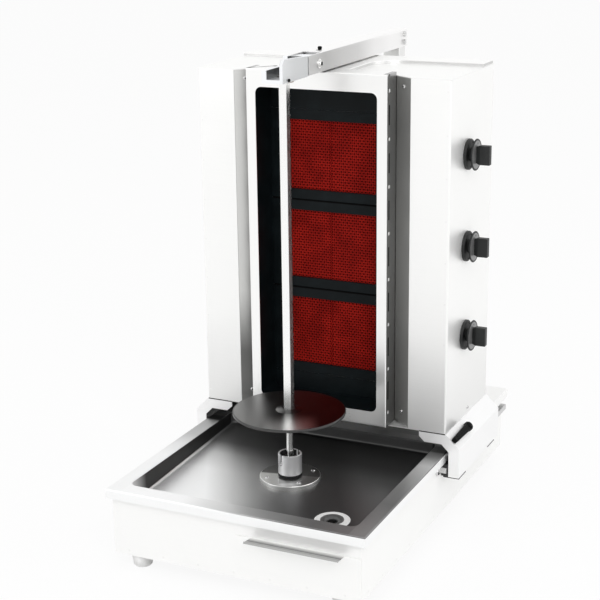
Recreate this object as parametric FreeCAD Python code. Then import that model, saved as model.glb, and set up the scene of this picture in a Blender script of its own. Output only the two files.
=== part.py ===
import FreeCAD
import Part
import math
import os
from FreeCAD import Vector

# Gas doner kebab grill, in millimetres. X points right, Y back and Z up.
# The origin lies on the floor, on the axis of the upright spit.

# Sheet metal and clearances
sheet = 1.5
thin_sheet = 1.2
bend = 2.0
body_gap = 0.3
run_gap = 0.06

# Drip pan
pan_width = 500.0
pan_top = 150.0
spit_to_pan_front = 240.0
pan_length = 455.0
pan_flange_side = 31.0
pan_flange_front = 34.0
pan_flange_rear = 25.0
pan_lip = 18.0
pan_depth_front = 38.0
pan_depth_rear = 24.0
pan_corner_radius = 14.0
pan_floor_radius = 6.0

# Base
base_width = 480.0
base_front_setback = 8.0
base_rear = 528.0
foot_height = 25.0
foot_diameter = 40.0
foot_inset_x = 43.0
foot_inset_y = 24.0
bottom_flange = 15.0

# Drain
drain_x = 142.0
drain_from_spit = 130.0
drain_rim_diameter = 64.0
drain_hole_diameter = 18.0
drain_dish_depth = 4.0
drain_spout_length = 3.5

# Grease drawer
drawer_centre_x = 123.0
drawer_front_width = 234.0
drawer_front_height = 61.0
drawer_front_top = 107.0
drawer_box_width = 214.0
drawer_kept_in = 25.0
drawer_box_height = 54.0
drawer_box_bottom = 50.0
drawer_travel = 150.0
pull_width = 174.0
pull_reach = 29.7
pull_hem = 4.0
runner_shelf = 14.0

# Spit drive
gearbox_width = 90.0
gearbox_length = 110.0
gearbox_top = 100.0
gearbox_height = 54.0
gearbox_front = 45.0
motor_diameter = 66.0
motor_length = 105.0
shaft_diameter = 20.0
flange_diameter = 113.0
flange_top = 125.0
flange_sleeve_diameter = 44.0
flange_screw_pcd = 90.0
flange_screw_head = 8.0
seal_height = 4.5
seal_diameter = 44.0

# Bayonet coupling
coupling_diameter = 44.0
coupling_wall = 4.0
coupling_top = 168.5
coupling_floor = 140.0
slot_width = 5.6
slot_pin_z = 150.0
slot_hook_angle = 38.0

# Spit
spit_square = 14.0
spit_top = 862.0
spit_shank_diameter = 12.6
spit_square_bottom = 228.0
spit_foot_height = 18.0
cross_pin_diameter = 5.0
plate_diameter = 207.0
plate_top = 253.0
plate_sheet = 3.0
plate_rim_height = 5.0
plate_hub_diameter = 34.0
plate_hub_height = 20.0
plate_screw_diameter = 6.0

# Burner housing
housing_front = 148.0
housing_depth = 240.0
housing_width = 500.0
housing_bottom = 189.0
housing_top = 845.0
housing_travel = 100.0
wing_outer_x = 175.0
wing_return = 12.0
rear_window_margin = 15.0
vent_slot_length = 220.0
vent_slot_width = 5.0
vent_slot_pitch = 14.0
side_screw_y = 272.0

# Burner frame
frame_front = 126.0
frame_half_width = 139.0
frame_bottom = 193.0
frame_top = 853.0
frame_return = 45.0
frame_tab = 18.0
mouth_half_width = 120.0
mouth_below_burners = 36.5
mouth_above_burners = 47.5
mouth_radius = 12.0
side_hole_count = 8
side_hole_pitch = 86.2
side_hole_first = 220.5
side_hole_size = 5.0
side_hole_setback = 11.5
side_slot_length = 36.0
side_slot_width = 2.2

# Burners
burner_count = 3
burner_pitch = 172.0
burner_middle_z = 515.0
burner_face = 191.0
burner_height = 171.0
burner_box_width = 204.0
burner_box_height = 148.0
burner_box_depth = 34.0
plaque_width = 92.0
plaque_height = 131.0
plaque_depth = 12.0
venturi_diameter = 30.0
venturi_mouth_x = 158.0

# Gas train and knobs
knob_y = 246.0
knob_above_burner = 12.5
knob_skirt_diameter = 58.0
knob_skirt_thickness = 2.8
knob_hub_diameter = 26.0
knob_hub_height = 8.0
knob_grip_height = 35.5
knob_grip_width = 12.5
knob_grip_root_height = 29.0
knob_grip_root_width = 8.0
knob_grip_flare = 7.0
knob_grip_reach = 25.5
knob_bezel_diameter = 57.0
knob_bezel_height = 5.5
knob_bezel_bevel = 1.5
knob_gap = 0.6
knob_socket_depth = 12.5
valve_stem_diameter = 8.0
valve_size = 32.0
manifold_diameter = 16.0
manifold_y = 275.0
inlet_above_bottom = 46.0

# Skirt brackets, rails and glide shoes
skirt_face_x = 277.0
skirt_face_z = 162.5
skirt_bottom = 105.0
skirt_top_flange = 52.5
skirt_front_rim = 20.5
rail_width = 13.0
rail_height = 11.0
rail_bottom = 110.0
rail_beyond_housing = 32.0
shoe_length = 40.0
shoe_jaw = 4.3
shoe_sole = 2.5

# Lock lever on the right skirt bracket
lever_y = 226.0
lever_length = 81.0
lever_hub_diameter = 18.0
lever_tip_width = 10.5
lever_height = 13.0
lever_stud_diameter = 10.0

# Top arm
arm_half_width = 20.0
arm_bottom = 855.0
arm_height = 34.0
arm_sheet = 2.5
arm_front = 58.0
arm_rear = 532.0
arm_slot_rear = 119.0
post_depth = 33.0
post_sheet = 3.0
post_foot_width = 120.0
post_foot_sheet = 4.0
post_screw_head = 11.0

# Spit head and its latch
pivot_y = 101.0
pivot_z = 871.0
pivot_bolt_diameter = 10.0
head_front = 46.0
head_gap = 4.5
head_bottom = 854.0
head_web = 6.0
head_right_cheek = 6.5
head_left_cheek = 9.2
head_left_top = 875.5
head_rise_front = 894.0
head_rise_rear = 889.0
bush_bore_diameter = 22.5
bush_wall = 1.5
bush_flange_diameter = 34.0
tongue_half_width = 17.0
tongue_radius = 15.0
latch_half_width = 9.0
latch_thickness = 6.0
latch_nose_y = 117.5
latch_length = 58.0
latch_travel = 9.0
latch_knob_y = 149.0
latch_knob_diameter = 7.5
latch_knob_height = 6.0

# Places worked out from the sizes above
pan_front = -spit_to_pan_front
pan_rear = pan_front + pan_length
pan_half = pan_width / 2
base_half = base_width / 2
base_front = pan_front + base_front_setback
base_top = pan_top - sheet
deck_front = pan_rear + body_gap
deck_rear = base_rear + base_front_setback
deck_edge_radius = 1.4
housing_half = housing_width / 2
housing_rear = housing_front + housing_depth
frame_rear = frame_front + frame_return
burner_offsets = [i - (burner_count - 1) / 2 for i in range(burner_count)]
burner_centres = [burner_middle_z + burner_pitch * step for step in burner_offsets]
rail_front = housing_front + 2
rail_rear = housing_rear + housing_travel + rail_beyond_housing
burners_low = burner_centres[0] - burner_height / 2
burners_high = burner_centres[-1] + burner_height / 2
mouth_bottom = burners_low - mouth_below_burners
mouth_top = burners_high + mouth_above_burners
knob_heights = [z + knob_above_burner for z in burner_centres]
arm_top = arm_bottom + arm_height
inlet_z = housing_bottom + inlet_above_bottom
valve_x = housing_half - sheet - 6 - valve_size / 2
pin_turn = -115.0
drawer_box_depth = drawer_travel + drawer_kept_in
cavity_front = pan_front + pan_flange_front
cavity_rear = pan_rear - pan_flange_rear
cavity_half = pan_half - pan_flange_side
floor_slope = (pan_depth_front - pan_depth_rear) / (cavity_rear - cavity_front)


def pan_floor_z(y):
    """Height of the pan's sloping floor at a depth y."""
    return pan_top - pan_depth_front + floor_slope * (y - cavity_front)


def box(x0, x1, y0, y1, z0, z1):
    """Block between two corners."""
    return Part.makeBox(x1 - x0, y1 - y0, z1 - z0, Vector(x0, y0, z0))


def rod(radius, start, end):
    """Cylinder between two points."""
    along = Vector(*end) - Vector(*start)
    return Part.makeCylinder(radius, along.Length, Vector(*start), along)


def mirror_x(shape):
    """The same shape on the other side of the middle plane."""
    return shape.mirror(Vector(0, 0, 0), Vector(1, 0, 0))


def place(plane, u, v, w):
    """Point from two coordinates in a plane and one across it."""
    if plane == "xy":
        return Vector(u, v, w)
    if plane == "xz":
        return Vector(u, w, v)
    return Vector(w, u, v)


def rounded_path(corners, radii):
    """Edges of a path through corners (plane, u, v, w), each bend rounded by its radius."""
    edges = []
    start = corners[0]
    for before, corner, after, radius in zip(corners, corners[1:], corners[2:], radii):
        back = (before - corner).normalize()
        ahead = (after - corner).normalize()
        turn = math.pi - back.getAngle(ahead)
        if radius <= 0 or turn < 1e-6:
            edges.append(Part.makeLine(start, corner))
            start = corner
            continue
        reach = radius * math.tan(turn / 2)
        arc_start = corner + back * reach
        arc_end = corner + ahead * reach
        middle = (back + ahead).normalize()
        arc_middle = corner + middle * (radius / math.cos(turn / 2) - radius)
        if (arc_start - start).Length > 1e-6:
            edges.append(Part.makeLine(start, arc_start))
        edges.append(Part.Arc(arc_start, arc_middle, arc_end).toShape())
        start = arc_end
    if (corners[-1] - start).Length > 1e-6:
        edges.append(Part.makeLine(start, corners[-1]))
    return edges


def bent_sheet(plane, points, thickness, low, high, radius=bend):
    """Folded sheet: a path bent with true radii, thickened to its left, pulled from low to high."""
    left = []
    turns = []
    for i, (u, v) in enumerate(points):
        before = points[max(i - 1, 0)]
        after = points[min(i + 1, len(points) - 1)]
        into = (u - before[0], v - before[1]) if i else (after[0] - u, after[1] - v)
        out = (after[0] - u, after[1] - v) if i < len(points) - 1 else into
        into = (into[0] / math.hypot(*into), into[1] / math.hypot(*into))
        out = (out[0] / math.hypot(*out), out[1] / math.hypot(*out))
        cross = into[0] * out[1] - into[1] * out[0]
        dot = into[0] * out[0] + into[1] * out[1]
        push = thickness / (1 + dot)
        left.append((u + push * (-into[1] - out[1]), v + push * (into[0] + out[0])))
        turns.append(cross)
    side = [place(plane, u, v, low) for u, v in points]
    other = [place(plane, u, v, low) for u, v in left]
    side_radii = [radius + thickness if t > 0 else radius for t in turns[1:-1]]
    other_radii = [radius if t > 0 else radius + thickness for t in turns[1:-1]]
    edges = rounded_path(side, side_radii)
    edges.append(Part.makeLine(side[-1], other[-1]))
    edges.extend(rounded_path(other[::-1], other_radii[::-1]))
    edges.append(Part.makeLine(other[0], side[0]))
    face = Part.Face(Part.Wire(edges))
    solid = face.extrude(place(plane, 0, 0, high - low))
    solid.fix(0.001, 0.001, 0.001)
    return solid


def flat_shape(plane, points, low, high):
    """Flat plate with a straight-sided outline."""
    corners = [place(plane, u, v, low) for u, v in points]
    outline = Part.makePolygon(corners + [corners[0]])
    return Part.Face(outline).extrude(place(plane, 0, 0, high - low))


def rounded_block(x0, x1, y0, y1, z0, z1, radius, axis):
    """Block whose edges along one axis are rounded."""
    shape = box(x0, x1, y0, y1, z0, z1)
    along = [e for e in shape.Edges if abs(e.tangentAt(e.FirstParameter).dot(axis)) > 0.99]
    return shape.makeFillet(radius, along)


def edges_where(shape, test):
    """Edges whose two ends and middle all meet a test on their position."""
    chosen = []
    for edge in shape.Edges:
        middle = edge.valueAt((edge.FirstParameter + edge.LastParameter) / 2)
        spots = [v.Point for v in edge.Vertexes] + [middle]
        if all(test(p) for p in spots):
            chosen.append(edge)
    return chosen


def turned(profile, centre=(0.0, 0.0)):
    """Solid of revolution about an upright axis, from (radius, height) points."""
    points = [Vector(centre[0] + r, centre[1], z) for r, z in profile]
    face = Part.Face(Part.makePolygon(points + [points[0]]))
    return face.revolve(Vector(centre[0], centre[1], 0), Vector(0, 0, 1), 360)


def screw_head(radius, height, at, direction):
    """Low round screw head with a slightly smaller crown, standing on a face."""
    direction = Vector(*direction)
    foot = Part.makeCylinder(radius, height * 0.5, Vector(*at), direction)
    crown_at = Vector(*at) + direction * (height * 0.5)
    crown = Part.makeCone(radius, radius * 0.7, height * 0.5, crown_at, direction)
    return foot.fuse(crown).removeSplitter()


def save(name, shape):
    """Write one node."""
    shape.exportStep("parts/" + name + ".step")


def base_shell():
    """Folded box of the base, with its drawer opening, and the rear deck that carries the arm post."""
    outer = box(-base_half, base_half, base_front, base_rear, foot_height, base_top)
    inner = box(-base_half + sheet, base_half - sheet, base_front + sheet, base_rear - sheet,
                foot_height - 1, base_top + 1)
    walls = outer.cut(inner)
    deck = box(-pan_half, pan_half, deck_front, deck_rear, base_top, pan_top)
    lip_low = pan_top - pan_lip
    deck_left = box(-pan_half, -pan_half + sheet, deck_front, deck_rear, lip_low, pan_top)
    deck_back = box(-pan_half, pan_half, deck_rear - sheet, deck_rear, lip_low, pan_top)
    body = walls.fuse([deck, deck_left, mirror_x(deck_left), deck_back]).removeSplitter()
    rims = edges_where(body, lambda p: abs(p.z - pan_top) < 0.01 and (
        abs(abs(p.x) - pan_half) < 0.01 or abs(p.y - deck_rear) < 0.01))
    body = body.makeFillet(deck_edge_radius, rims)
    margin = 4.0
    mouth_left = drawer_centre_x - drawer_front_width / 2 + margin
    mouth_right = min(drawer_centre_x + drawer_front_width / 2 - margin, base_half - sheet - 1)
    mouth = box(mouth_left, mouth_right, base_front - 1, base_front + sheet + 1,
                drawer_box_bottom - margin, drawer_front_top - 1.5)
    return body.cut(mouth)


def base_bottom():
    """Bottom plate of the base, a tray with its edges turned up against the walls."""
    half = base_half - sheet
    front = base_front + sheet
    rear = base_rear - sheet
    tray = box(-half, half, front, rear, foot_height, foot_height + bottom_flange)
    hollow = box(-half + sheet, half - sheet, front + sheet, rear - sheet, foot_height + sheet,
                 foot_height + bottom_flange + 1)
    return tray.cut(hollow)


def feet():
    """Four tapered rubber feet under the bottom plate."""
    radius = foot_diameter / 2
    group = []
    for x in (-base_half + foot_inset_x, base_half - foot_inset_x):
        for y in (base_front + foot_inset_y, base_rear - foot_inset_y):
            group.append(turned([(0, 0), (radius - 5, 0), (radius - 3, 2), (radius, foot_height - 3),
                                 (radius, foot_height), (0, foot_height)], (x, y)))
    return Part.makeCompound(group)


def pan_hollow(grow):
    """The pan's sloping hollow, grown on its sides and floor by a thickness."""
    front = cavity_front - grow
    rear = cavity_rear + grow
    half = cavity_half + grow
    top = pan_top + 5
    points = [(front, top), (rear, top), (rear, pan_floor_z(rear) - grow), (front, pan_floor_z(front) - grow)]
    shape = flat_shape("yz", points, -half, half)
    corners = [e for e in shape.Edges if abs(e.tangentAt(e.FirstParameter).z) > 0.99]
    shape = shape.makeFillet(pan_corner_radius + grow, corners)
    floor_edges = edges_where(shape, lambda p: p.z < pan_floor_z(p.y) - grow + 0.5)
    return shape.makeFillet(pan_floor_radius + grow, floor_edges)


def drip_pan():
    """Drip pan pressed from sheet: flange with a folded lip, and a hollow whose floor falls to the front."""
    rim = box(-pan_half, pan_half, pan_front, pan_rear, pan_top - pan_lip, pan_top)
    rim = rim.makeFillet(bend + sheet, edges_where(rim, lambda p: abs(p.z - pan_top) < 0.01 and (
        abs(abs(p.x) - pan_half) < 0.01 or abs(p.y - pan_front) < 0.01)))
    under = box(-pan_half + sheet, pan_half - sheet, pan_front + sheet, pan_rear + bend,
                pan_top - pan_lip - 1, base_top)
    under = under.makeFillet(bend, edges_where(under, lambda p: abs(p.z - base_top) < 0.01 and (
        abs(abs(p.x) - pan_half + sheet) < 0.01 or abs(p.y - pan_front - sheet) < 0.01)))
    tray = rim.cut(under)
    lower = box(-pan_half, pan_half, pan_front, pan_rear, 0, pan_top - sheet / 2)
    outer = pan_hollow(sheet).common(lower)
    pan = tray.fuse(outer).cut(pan_hollow(0))
    mouth_edges = edges_where(pan, lambda p: abs(p.z - pan_top) < 0.01 and abs(p.x) < cavity_half + 0.1
                              and cavity_front - 0.1 < p.y < cavity_rear + 0.1)
    pan = pan.makeFillet(bend, mouth_edges)
    sleeve_hole = rod(flange_sleeve_diameter / 2 + 1, (0, 0, gearbox_top), (0, 0, flange_top + 5))
    drain_hole = rod(drain_hole_diameter / 2 + 4, (drain_x, -drain_from_spit, gearbox_top),
                     (drain_x, -drain_from_spit, pan_top))
    return pan.cut([sleeve_hole, drain_hole])


def drain_ring():
    """Dished drain ring on the pan floor, with a short spout into the drawer."""
    rim = drain_rim_diameter / 2
    hole = drain_hole_diameter / 2
    neck = hole + 2.5
    low = -drain_dish_depth - drain_spout_length
    profile = [(hole, low), (neck, low), (neck, -sheet - 0.2), (neck + 1.2, -sheet - 0.2), (neck + 1.2, 0),
               (rim, 0), (rim, 0.5), (rim - 2.5, 1.7), (neck + 4.5, 1.7), (neck + 2, 1), (neck - 1, -1.8),
               (hole, -2.4)]
    ring = turned(profile)
    ring.rotate(Vector(0, 0, 0), Vector(1, 0, 0), math.degrees(math.atan(floor_slope)))
    ring.translate(Vector(drain_x, -drain_from_spit, pan_floor_z(-drain_from_spit)))
    return ring


def drawer_box():
    """Open grease tray with rounded corners."""
    half = drawer_box_width / 2
    front = base_front - body_gap
    rear = front + drawer_box_depth
    top = drawer_box_bottom + drawer_box_height
    up = Vector(0, 0, 1)
    outer = rounded_block(drawer_centre_x - half, drawer_centre_x + half, front, rear,
                          drawer_box_bottom, top, 1.8, up)
    wall = thin_sheet
    hollow = rounded_block(drawer_centre_x - half + wall, drawer_centre_x + half - wall, front + wall,
                           rear - wall, drawer_box_bottom + wall, top + 1, 0.6, up)
    return outer.cut(hollow)


def drawer_front():
    """Drawer front whose top edge is folded out into a pull lip with a rolled hem."""
    face_back = base_front - body_gap
    face_front = face_back - sheet
    left = drawer_centre_x - drawer_front_width / 2
    right = drawer_centre_x + drawer_front_width / 2
    plate = box(left, right, face_front, face_back, drawer_front_top - drawer_front_height, drawer_front_top)
    lip_front = face_back - pull_reach
    hem = pull_hem / 2
    path = [(face_back, drawer_front_top - 12), (face_back, drawer_front_top),
            (lip_front + hem, drawer_front_top + 3.5)]
    lip = bent_sheet("yz", path, sheet, drawer_centre_x - pull_width / 2, drawer_centre_x + pull_width / 2)
    roll = rod(hem, (drawer_centre_x - pull_width / 2, lip_front + hem, drawer_front_top + 3.5 - hem + sheet),
               (drawer_centre_x + pull_width / 2, lip_front + hem, drawer_front_top + 3.5 - hem + sheet))
    return plate.fuse([lip, roll]).removeSplitter()


def drawer_runners():
    """Two folded runners that stand on the bottom plate and carry the tray's side edges."""
    shelf = drawer_box_bottom - body_gap
    floor = foot_height + sheet
    front = base_front + 2 * sheet + 1
    rear = base_front + drawer_box_depth + 5
    half = drawer_box_width / 2
    outer = half + body_gap + sheet
    group = []
    for side in (-1, 1):
        wall = drawer_centre_x + side * outer
        inward = -side
        upright = sorted([wall, wall + inward * sheet])
        tray_side = box(upright[0], upright[1], front, rear, floor, drawer_box_bottom + 20)
        reach = sorted([wall, wall + inward * (runner_shelf + sheet)])
        shelf_plate = box(reach[0], reach[1], front, rear, shelf - sheet, shelf)
        foot_plate = box(reach[0], reach[1], front, rear, floor, floor + sheet)
        group.append(tray_side.fuse([shelf_plate, foot_plate]).removeSplitter())
    return Part.makeCompound(group)


def gear_motor():
    """Right-angle gear motor: cast gearbox under the pan and a finned motor behind it."""
    half = gearbox_width / 2
    bottom = gearbox_top - gearbox_height
    rear = gearbox_length - gearbox_front
    case = rounded_block(-half, half, -gearbox_front, rear, bottom, gearbox_top, 10, Vector(0, 0, 1))
    case = case.makeFillet(3, edges_where(case, lambda p: abs(p.z - gearbox_top) < 0.01))
    middle = bottom + motor_diameter / 2 + 1
    barrel = rod(motor_diameter / 2, (0, rear - 1, middle), (0, rear + motor_length, middle))
    fins = [rod(motor_diameter / 2 + 2.5, (0, rear + 20 + 12 * i, middle), (0, rear + 24 + 12 * i, middle))
            for i in range(5)]
    cap = rod(motor_diameter / 2 - 4, (0, rear + motor_length, middle), (0, rear + motor_length + 14, middle))
    body = case.fuse([barrel, cap] + fins)
    bore = rod(shaft_diameter / 2 + run_gap, (0, 0, gearbox_top - 28), (0, 0, gearbox_top + 1))
    return body.cut(bore)


def motor_bracket():
    """Folded bridge on the bottom plate that carries the gearbox."""
    floor = foot_height + sheet
    deck = gearbox_top - gearbox_height
    half = gearbox_width / 2
    foot = 22.0
    path = [(-half - foot, floor), (-half, floor), (-half, deck - sheet * 2), (half, deck - sheet * 2),
            (half, floor), (half + foot, floor)]
    bridge = bent_sheet("xz", path, sheet * 2, -gearbox_front + 6, gearbox_length - gearbox_front - 6)
    return bridge


def bearing_flange():
    """Machined bearing flange: its underside is cut to the pan's slope and its sleeve passes the floor."""
    radius = flange_diameter / 2
    disc = rod(radius, (0, 0, pan_floor_z(0) - 8), (0, 0, flange_top))
    disc = disc.makeFillet(1.2, edges_where(disc, lambda p: abs(p.z - flange_top) < 0.01))
    low = [(-200, -200), (200, -200), (200, pan_floor_z(200)), (-200, pan_floor_z(-200))]
    below = flat_shape("yz", low, -radius - 5, radius + 5)
    disc = disc.cut(below)
    sleeve = rod(flange_sleeve_diameter / 2, (0, 0, gearbox_top + 1), (0, 0, flange_top - 1))
    bore = rod(shaft_diameter / 2 + run_gap, (0, 0, gearbox_top), (0, 0, flange_top + 1))
    return disc.fuse(sleeve).removeSplitter().cut(bore)


def flange_screws():
    """Four screws that hold the bearing flange."""
    radius = flange_screw_pcd / 2
    group = []
    for i in range(4):
        angle = math.radians(45 + 90 * i)
        at = (radius * math.cos(angle), radius * math.sin(angle), flange_top)
        group.append(screw_head(flange_screw_head / 2, 2.4, at, (0, 0, 1)))
    return Part.makeCompound(group)


def shaft_seal():
    """Black lip seal round the shaft, between flange and coupling."""
    outer = seal_diameter / 2
    inner = shaft_diameter / 2 + body_gap
    top = flange_top + seal_height
    return turned([(inner, flange_top), (outer, flange_top), (outer, top - 1), (outer - 1, top - body_gap),
                   (inner, top - body_gap)])


def drive_shaft():
    """Output shaft from the gearbox up into the coupling."""
    radius = shaft_diameter / 2
    return turned([(0, gearbox_top - 26), (radius - 1, gearbox_top - 26), (radius, gearbox_top - 25),
                   (radius, coupling_floor - 3), (radius - 1, coupling_floor - 2), (0, coupling_floor - 2)])


def bayonet_coupling():
    """Coupling cup with two J slots that take the spit's cross pin."""
    outer = coupling_diameter / 2
    inner = outer - coupling_wall
    bottom = flange_top + seal_height
    shaft = shaft_diameter / 2 + run_gap
    cup = turned([(shaft, bottom), (outer - 1, bottom), (outer, bottom + 1), (outer, coupling_top - 0.8),
                  (outer - 0.8, coupling_top), (inner + 0.8, coupling_top), (inner, coupling_top - 0.8),
                  (inner, coupling_floor), (shaft, coupling_floor)])
    half = slot_width / 2
    reach = outer + 2
    slots = []
    for side in (0, 180):
        seat = rod(half, (inner - 2, 0, slot_pin_z), (reach, 0, slot_pin_z))
        mouth = box(inner - 2, reach, -half, half, slot_pin_z, coupling_top + 1)
        corners = [Vector(inner - 2, 0, slot_pin_z - half), Vector(reach, 0, slot_pin_z - half),
                   Vector(reach, 0, slot_pin_z + half), Vector(inner - 2, 0, slot_pin_z + half)]
        section = Part.Face(Part.makePolygon(corners + [corners[0]]))
        hook = section.revolve(Vector(0, 0, 0), Vector(0, 0, 1), -slot_hook_angle)
        hook_end = rod(half, (inner - 2, 0, slot_pin_z), (reach, 0, slot_pin_z))
        hook_end.rotate(Vector(0, 0, 0), Vector(0, 0, 1), -slot_hook_angle)
        for piece in (seat, mouth, hook, hook_end):
            piece.rotate(Vector(0, 0, 0), Vector(0, 0, 1), side + pin_turn)
            slots.append(piece)
    return cup.cut(slots)


def spit_rod():
    """Square spit with a round shank and a turned foot that centres in the coupling."""
    foot_radius = coupling_diameter / 2 - coupling_wall - body_gap
    foot_bottom = coupling_floor + body_gap
    shank = spit_shank_diameter / 2
    foot_top = foot_bottom + spit_foot_height
    lower = turned([(0, foot_bottom), (foot_radius - 1, foot_bottom), (foot_radius, foot_bottom + 1),
                    (foot_radius, foot_top - 1.5), (foot_radius - 1.5, foot_top), (shank, foot_top),
                    (shank, spit_square_bottom), (0, spit_square_bottom)])
    half = spit_square / 2
    bar = box(-half, half, -half, half, spit_square_bottom, spit_top)
    top_edges = edges_where(bar, lambda p: abs(p.z - spit_top) < 0.01)
    bar = bar.makeChamfer(2.5, top_edges)
    reach = foot_radius + 5
    pin_hole = rod(cross_pin_diameter / 2 + run_gap, (-reach, 0, slot_pin_z), (reach, 0, slot_pin_z))
    pin_hole.rotate(Vector(0, 0, 0), Vector(0, 0, 1), pin_turn)
    return lower.fuse(bar).removeSplitter().cut(pin_hole)


def cross_pin():
    """Pin through the spit's foot, whose ends ride in the coupling's J slots."""
    length = coupling_diameter / 2 + 1
    pin = rod(cross_pin_diameter / 2, (-length, 0, slot_pin_z), (length, 0, slot_pin_z))
    pin = pin.makeChamfer(0.8, [e for e in pin.Edges if e.BoundBox.XLength < 0.01])
    pin.rotate(Vector(0, 0, 0), Vector(0, 0, 1), pin_turn)
    return pin


def spit_plate():
    """Round meat plate, slightly coned towards its hub, with a turned-down rim."""
    radius = plate_diameter / 2
    hub = plate_hub_diameter / 2
    under = plate_top - plate_sheet
    hub_low = under - plate_hub_height
    plate = turned([(0, hub_low), (hub - 1, hub_low), (hub, hub_low + 1), (hub, under + 0.5),
                    (radius - plate_sheet, under - 1.5), (radius - plate_sheet, plate_top - plate_rim_height),
                    (radius - 0.8, plate_top - plate_rim_height),
                    (radius, plate_top - plate_rim_height + 0.8), (radius, plate_top - 1.2),
                    (radius - 1.2, plate_top), (hub + 8, plate_top + 1.2), (hub - 4, plate_top + 4.5),
                    (0, plate_top + 4.5)])
    half = spit_square / 2 + run_gap
    square_hole = box(-half, half, -half, half, hub_low - 1, plate_top + 10)
    screw_hole = rod(plate_screw_diameter / 2 + run_gap, (0, 0, hub_low + 10), (hub + 1, 0, hub_low + 10))
    return plate.cut([square_hole, screw_hole])


def plate_screw():
    """Knurled screw that clamps the plate's hub to the spit."""
    z = plate_top - plate_sheet - plate_hub_height + 10
    hub = plate_hub_diameter / 2
    shank = rod(plate_screw_diameter / 2, (spit_square / 2, 0, z), (hub + 3, 0, z))
    return shank.fuse(rod(7, (hub + 2, 0, z), (hub + 11, 0, z))).removeSplitter()


def slide_rail():
    """Right-hand guide rail screwed to the side of the base, with chamfered ends."""
    rail_top = rail_bottom + rail_height
    rail = box(base_half, base_half + rail_width, rail_front, rail_rear, rail_bottom, rail_top)
    ends = edges_where(rail, lambda p: abs(p.x - base_half - rail_width) < 0.01)
    return rail.makeChamfer(1.2, ends)


def rail_screw_places():
    """Depths of the rail's screws, clear of its ends."""
    inset = 25.0
    step = (rail_rear - rail_front - 2 * inset) / 3
    return [rail_front + inset + step * i for i in range(4)]


def skirt_right():
    """Right skirt bracket of the carriage: top flange, sloping face and leg, with a folded front rim."""
    shoulder = housing_half + 0.5
    top = housing_bottom
    slope_top = (shoulder, top)
    slope_low = (skirt_face_x, skirt_face_z)
    path = [(housing_half - skirt_top_flange, top), slope_top, slope_low, (skirt_face_x, skirt_bottom)]
    outline = [(x, z) for x, z in reversed(path)]
    body = bent_sheet("xz", outline, sheet, housing_front, housing_rear, 2.5)
    rim = skirt_front_rim
    inner = rim * math.tan(math.radians(22.5))
    low = housing_half - skirt_top_flange
    front = flat_shape("xz", [
        (low, top), (shoulder, top), (skirt_face_x, skirt_face_z), (skirt_face_x, skirt_bottom),
        (skirt_face_x - rim, skirt_bottom), (skirt_face_x - rim, skirt_face_z - inner),
        (shoulder - inner, top - rim), (low + 11, top - rim), (low, top - 10.5)],
        housing_front, housing_front + sheet)
    outside = bent_sheet("xz", path, 8, housing_front - 1, housing_front + sheet + 1, 2.5)
    return body.fuse(front.cut(outside)).removeSplitter()


def skirt_with_nut(skirt):
    """Skirt with a weld nut inside its sloping face for the lever's stud."""
    hole = lever_stud_diameter / 2 - 1.2 + body_gap
    nut = to_slope(hexagon((0, 0, -sheet - 7), (0, 0, 1), 9, 7.2))
    return skirt.fuse(nut).removeSplitter().cut(to_slope(rod(hole, (0, 0, -20), (0, 0, 5))))


def glide_shoes():
    """Four black nylon shoes that wrap the rails, each with a sole under the edge of a skirt leg."""
    leg = skirt_face_x - sheet
    inner = base_half + body_gap + 1.5
    low = skirt_bottom
    high = rail_bottom + rail_height + body_gap + 7
    groove_x = base_half + rail_width + body_gap
    group = []
    for y in (housing_front + sheet + 0.5, housing_rear - 25 - shoe_length):
        block = box(inner, leg, y, y + shoe_length, low, high)
        sole = box(inner + shoe_jaw, skirt_face_x, y, y + shoe_length, low - shoe_sole, low)
        block = block.fuse(sole).removeSplitter()
        groove = box(inner - 1, groove_x, y - 1, y + shoe_length + 1, rail_bottom - body_gap,
                     rail_bottom + rail_height + body_gap)
        shoe = block.cut(groove)
        group.extend([shoe, mirror_x(shoe)])
    return Part.makeCompound(group)


def lever_centre():
    """Centre of the lever hub, halfway down the skirt's sloping face."""
    x = (housing_half + 0.5 + skirt_face_x) / 2
    return Vector(x, lever_y, skirt_face_x + skirt_face_z - x)


def to_slope(shape):
    """Turn a piece built on the floor plane so that it stands on the skirt's sloping face."""
    shape.rotate(Vector(0, 0, 0), Vector(0, 1, 0), 45)
    shape.translate(lever_centre())
    return shape


def lock_lever():
    """Black clamp lever: domed hub and a tapered grip with two ridges."""
    hub = lever_hub_diameter / 2
    tip = lever_tip_width / 2
    lift = 1.0
    body = turned([(0, lift), (hub - 1, lift), (hub, lift + 1), (hub, lever_height - 4),
                   (hub * 0.72, lever_height - 0.6), (hub * 0.3, lever_height + 0.8), (0, lever_height + 1)])
    reach = lever_length - tip
    low = lift + 2
    outline = [Vector(-hub * 0.8, 0, low), Vector(-tip, -reach, low), Vector(0, -reach - tip, low),
               Vector(tip, -reach, low), Vector(hub * 0.8, 0, low)]
    sides = [Part.makeLine(outline[0], outline[1]), Part.Arc(outline[1], outline[2], outline[3]).toShape(),
             Part.makeLine(outline[3], outline[4]), Part.makeLine(outline[4], outline[0])]
    arm = Part.Face(Part.Wire(sides)).extrude(Vector(0, 0, lever_height - lift - 4))
    arm = arm.makeFillet(1.6, edges_where(arm, lambda p: abs(p.z - lever_height + 2) < 0.01))
    ridges = []
    for x in (-2.6, 2.6):
        ridges.append(box(x - 0.9, x + 0.9, -reach + 6, -hub * 0.9, lever_height - 3, lever_height - 0.8))
    shape = body.fuse([arm] + ridges).removeSplitter()
    bore = rod(lever_stud_diameter / 2 - 1, (0, 0, 0), (0, 0, lever_height - 5))
    return to_slope(shape.cut(bore))


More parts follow.
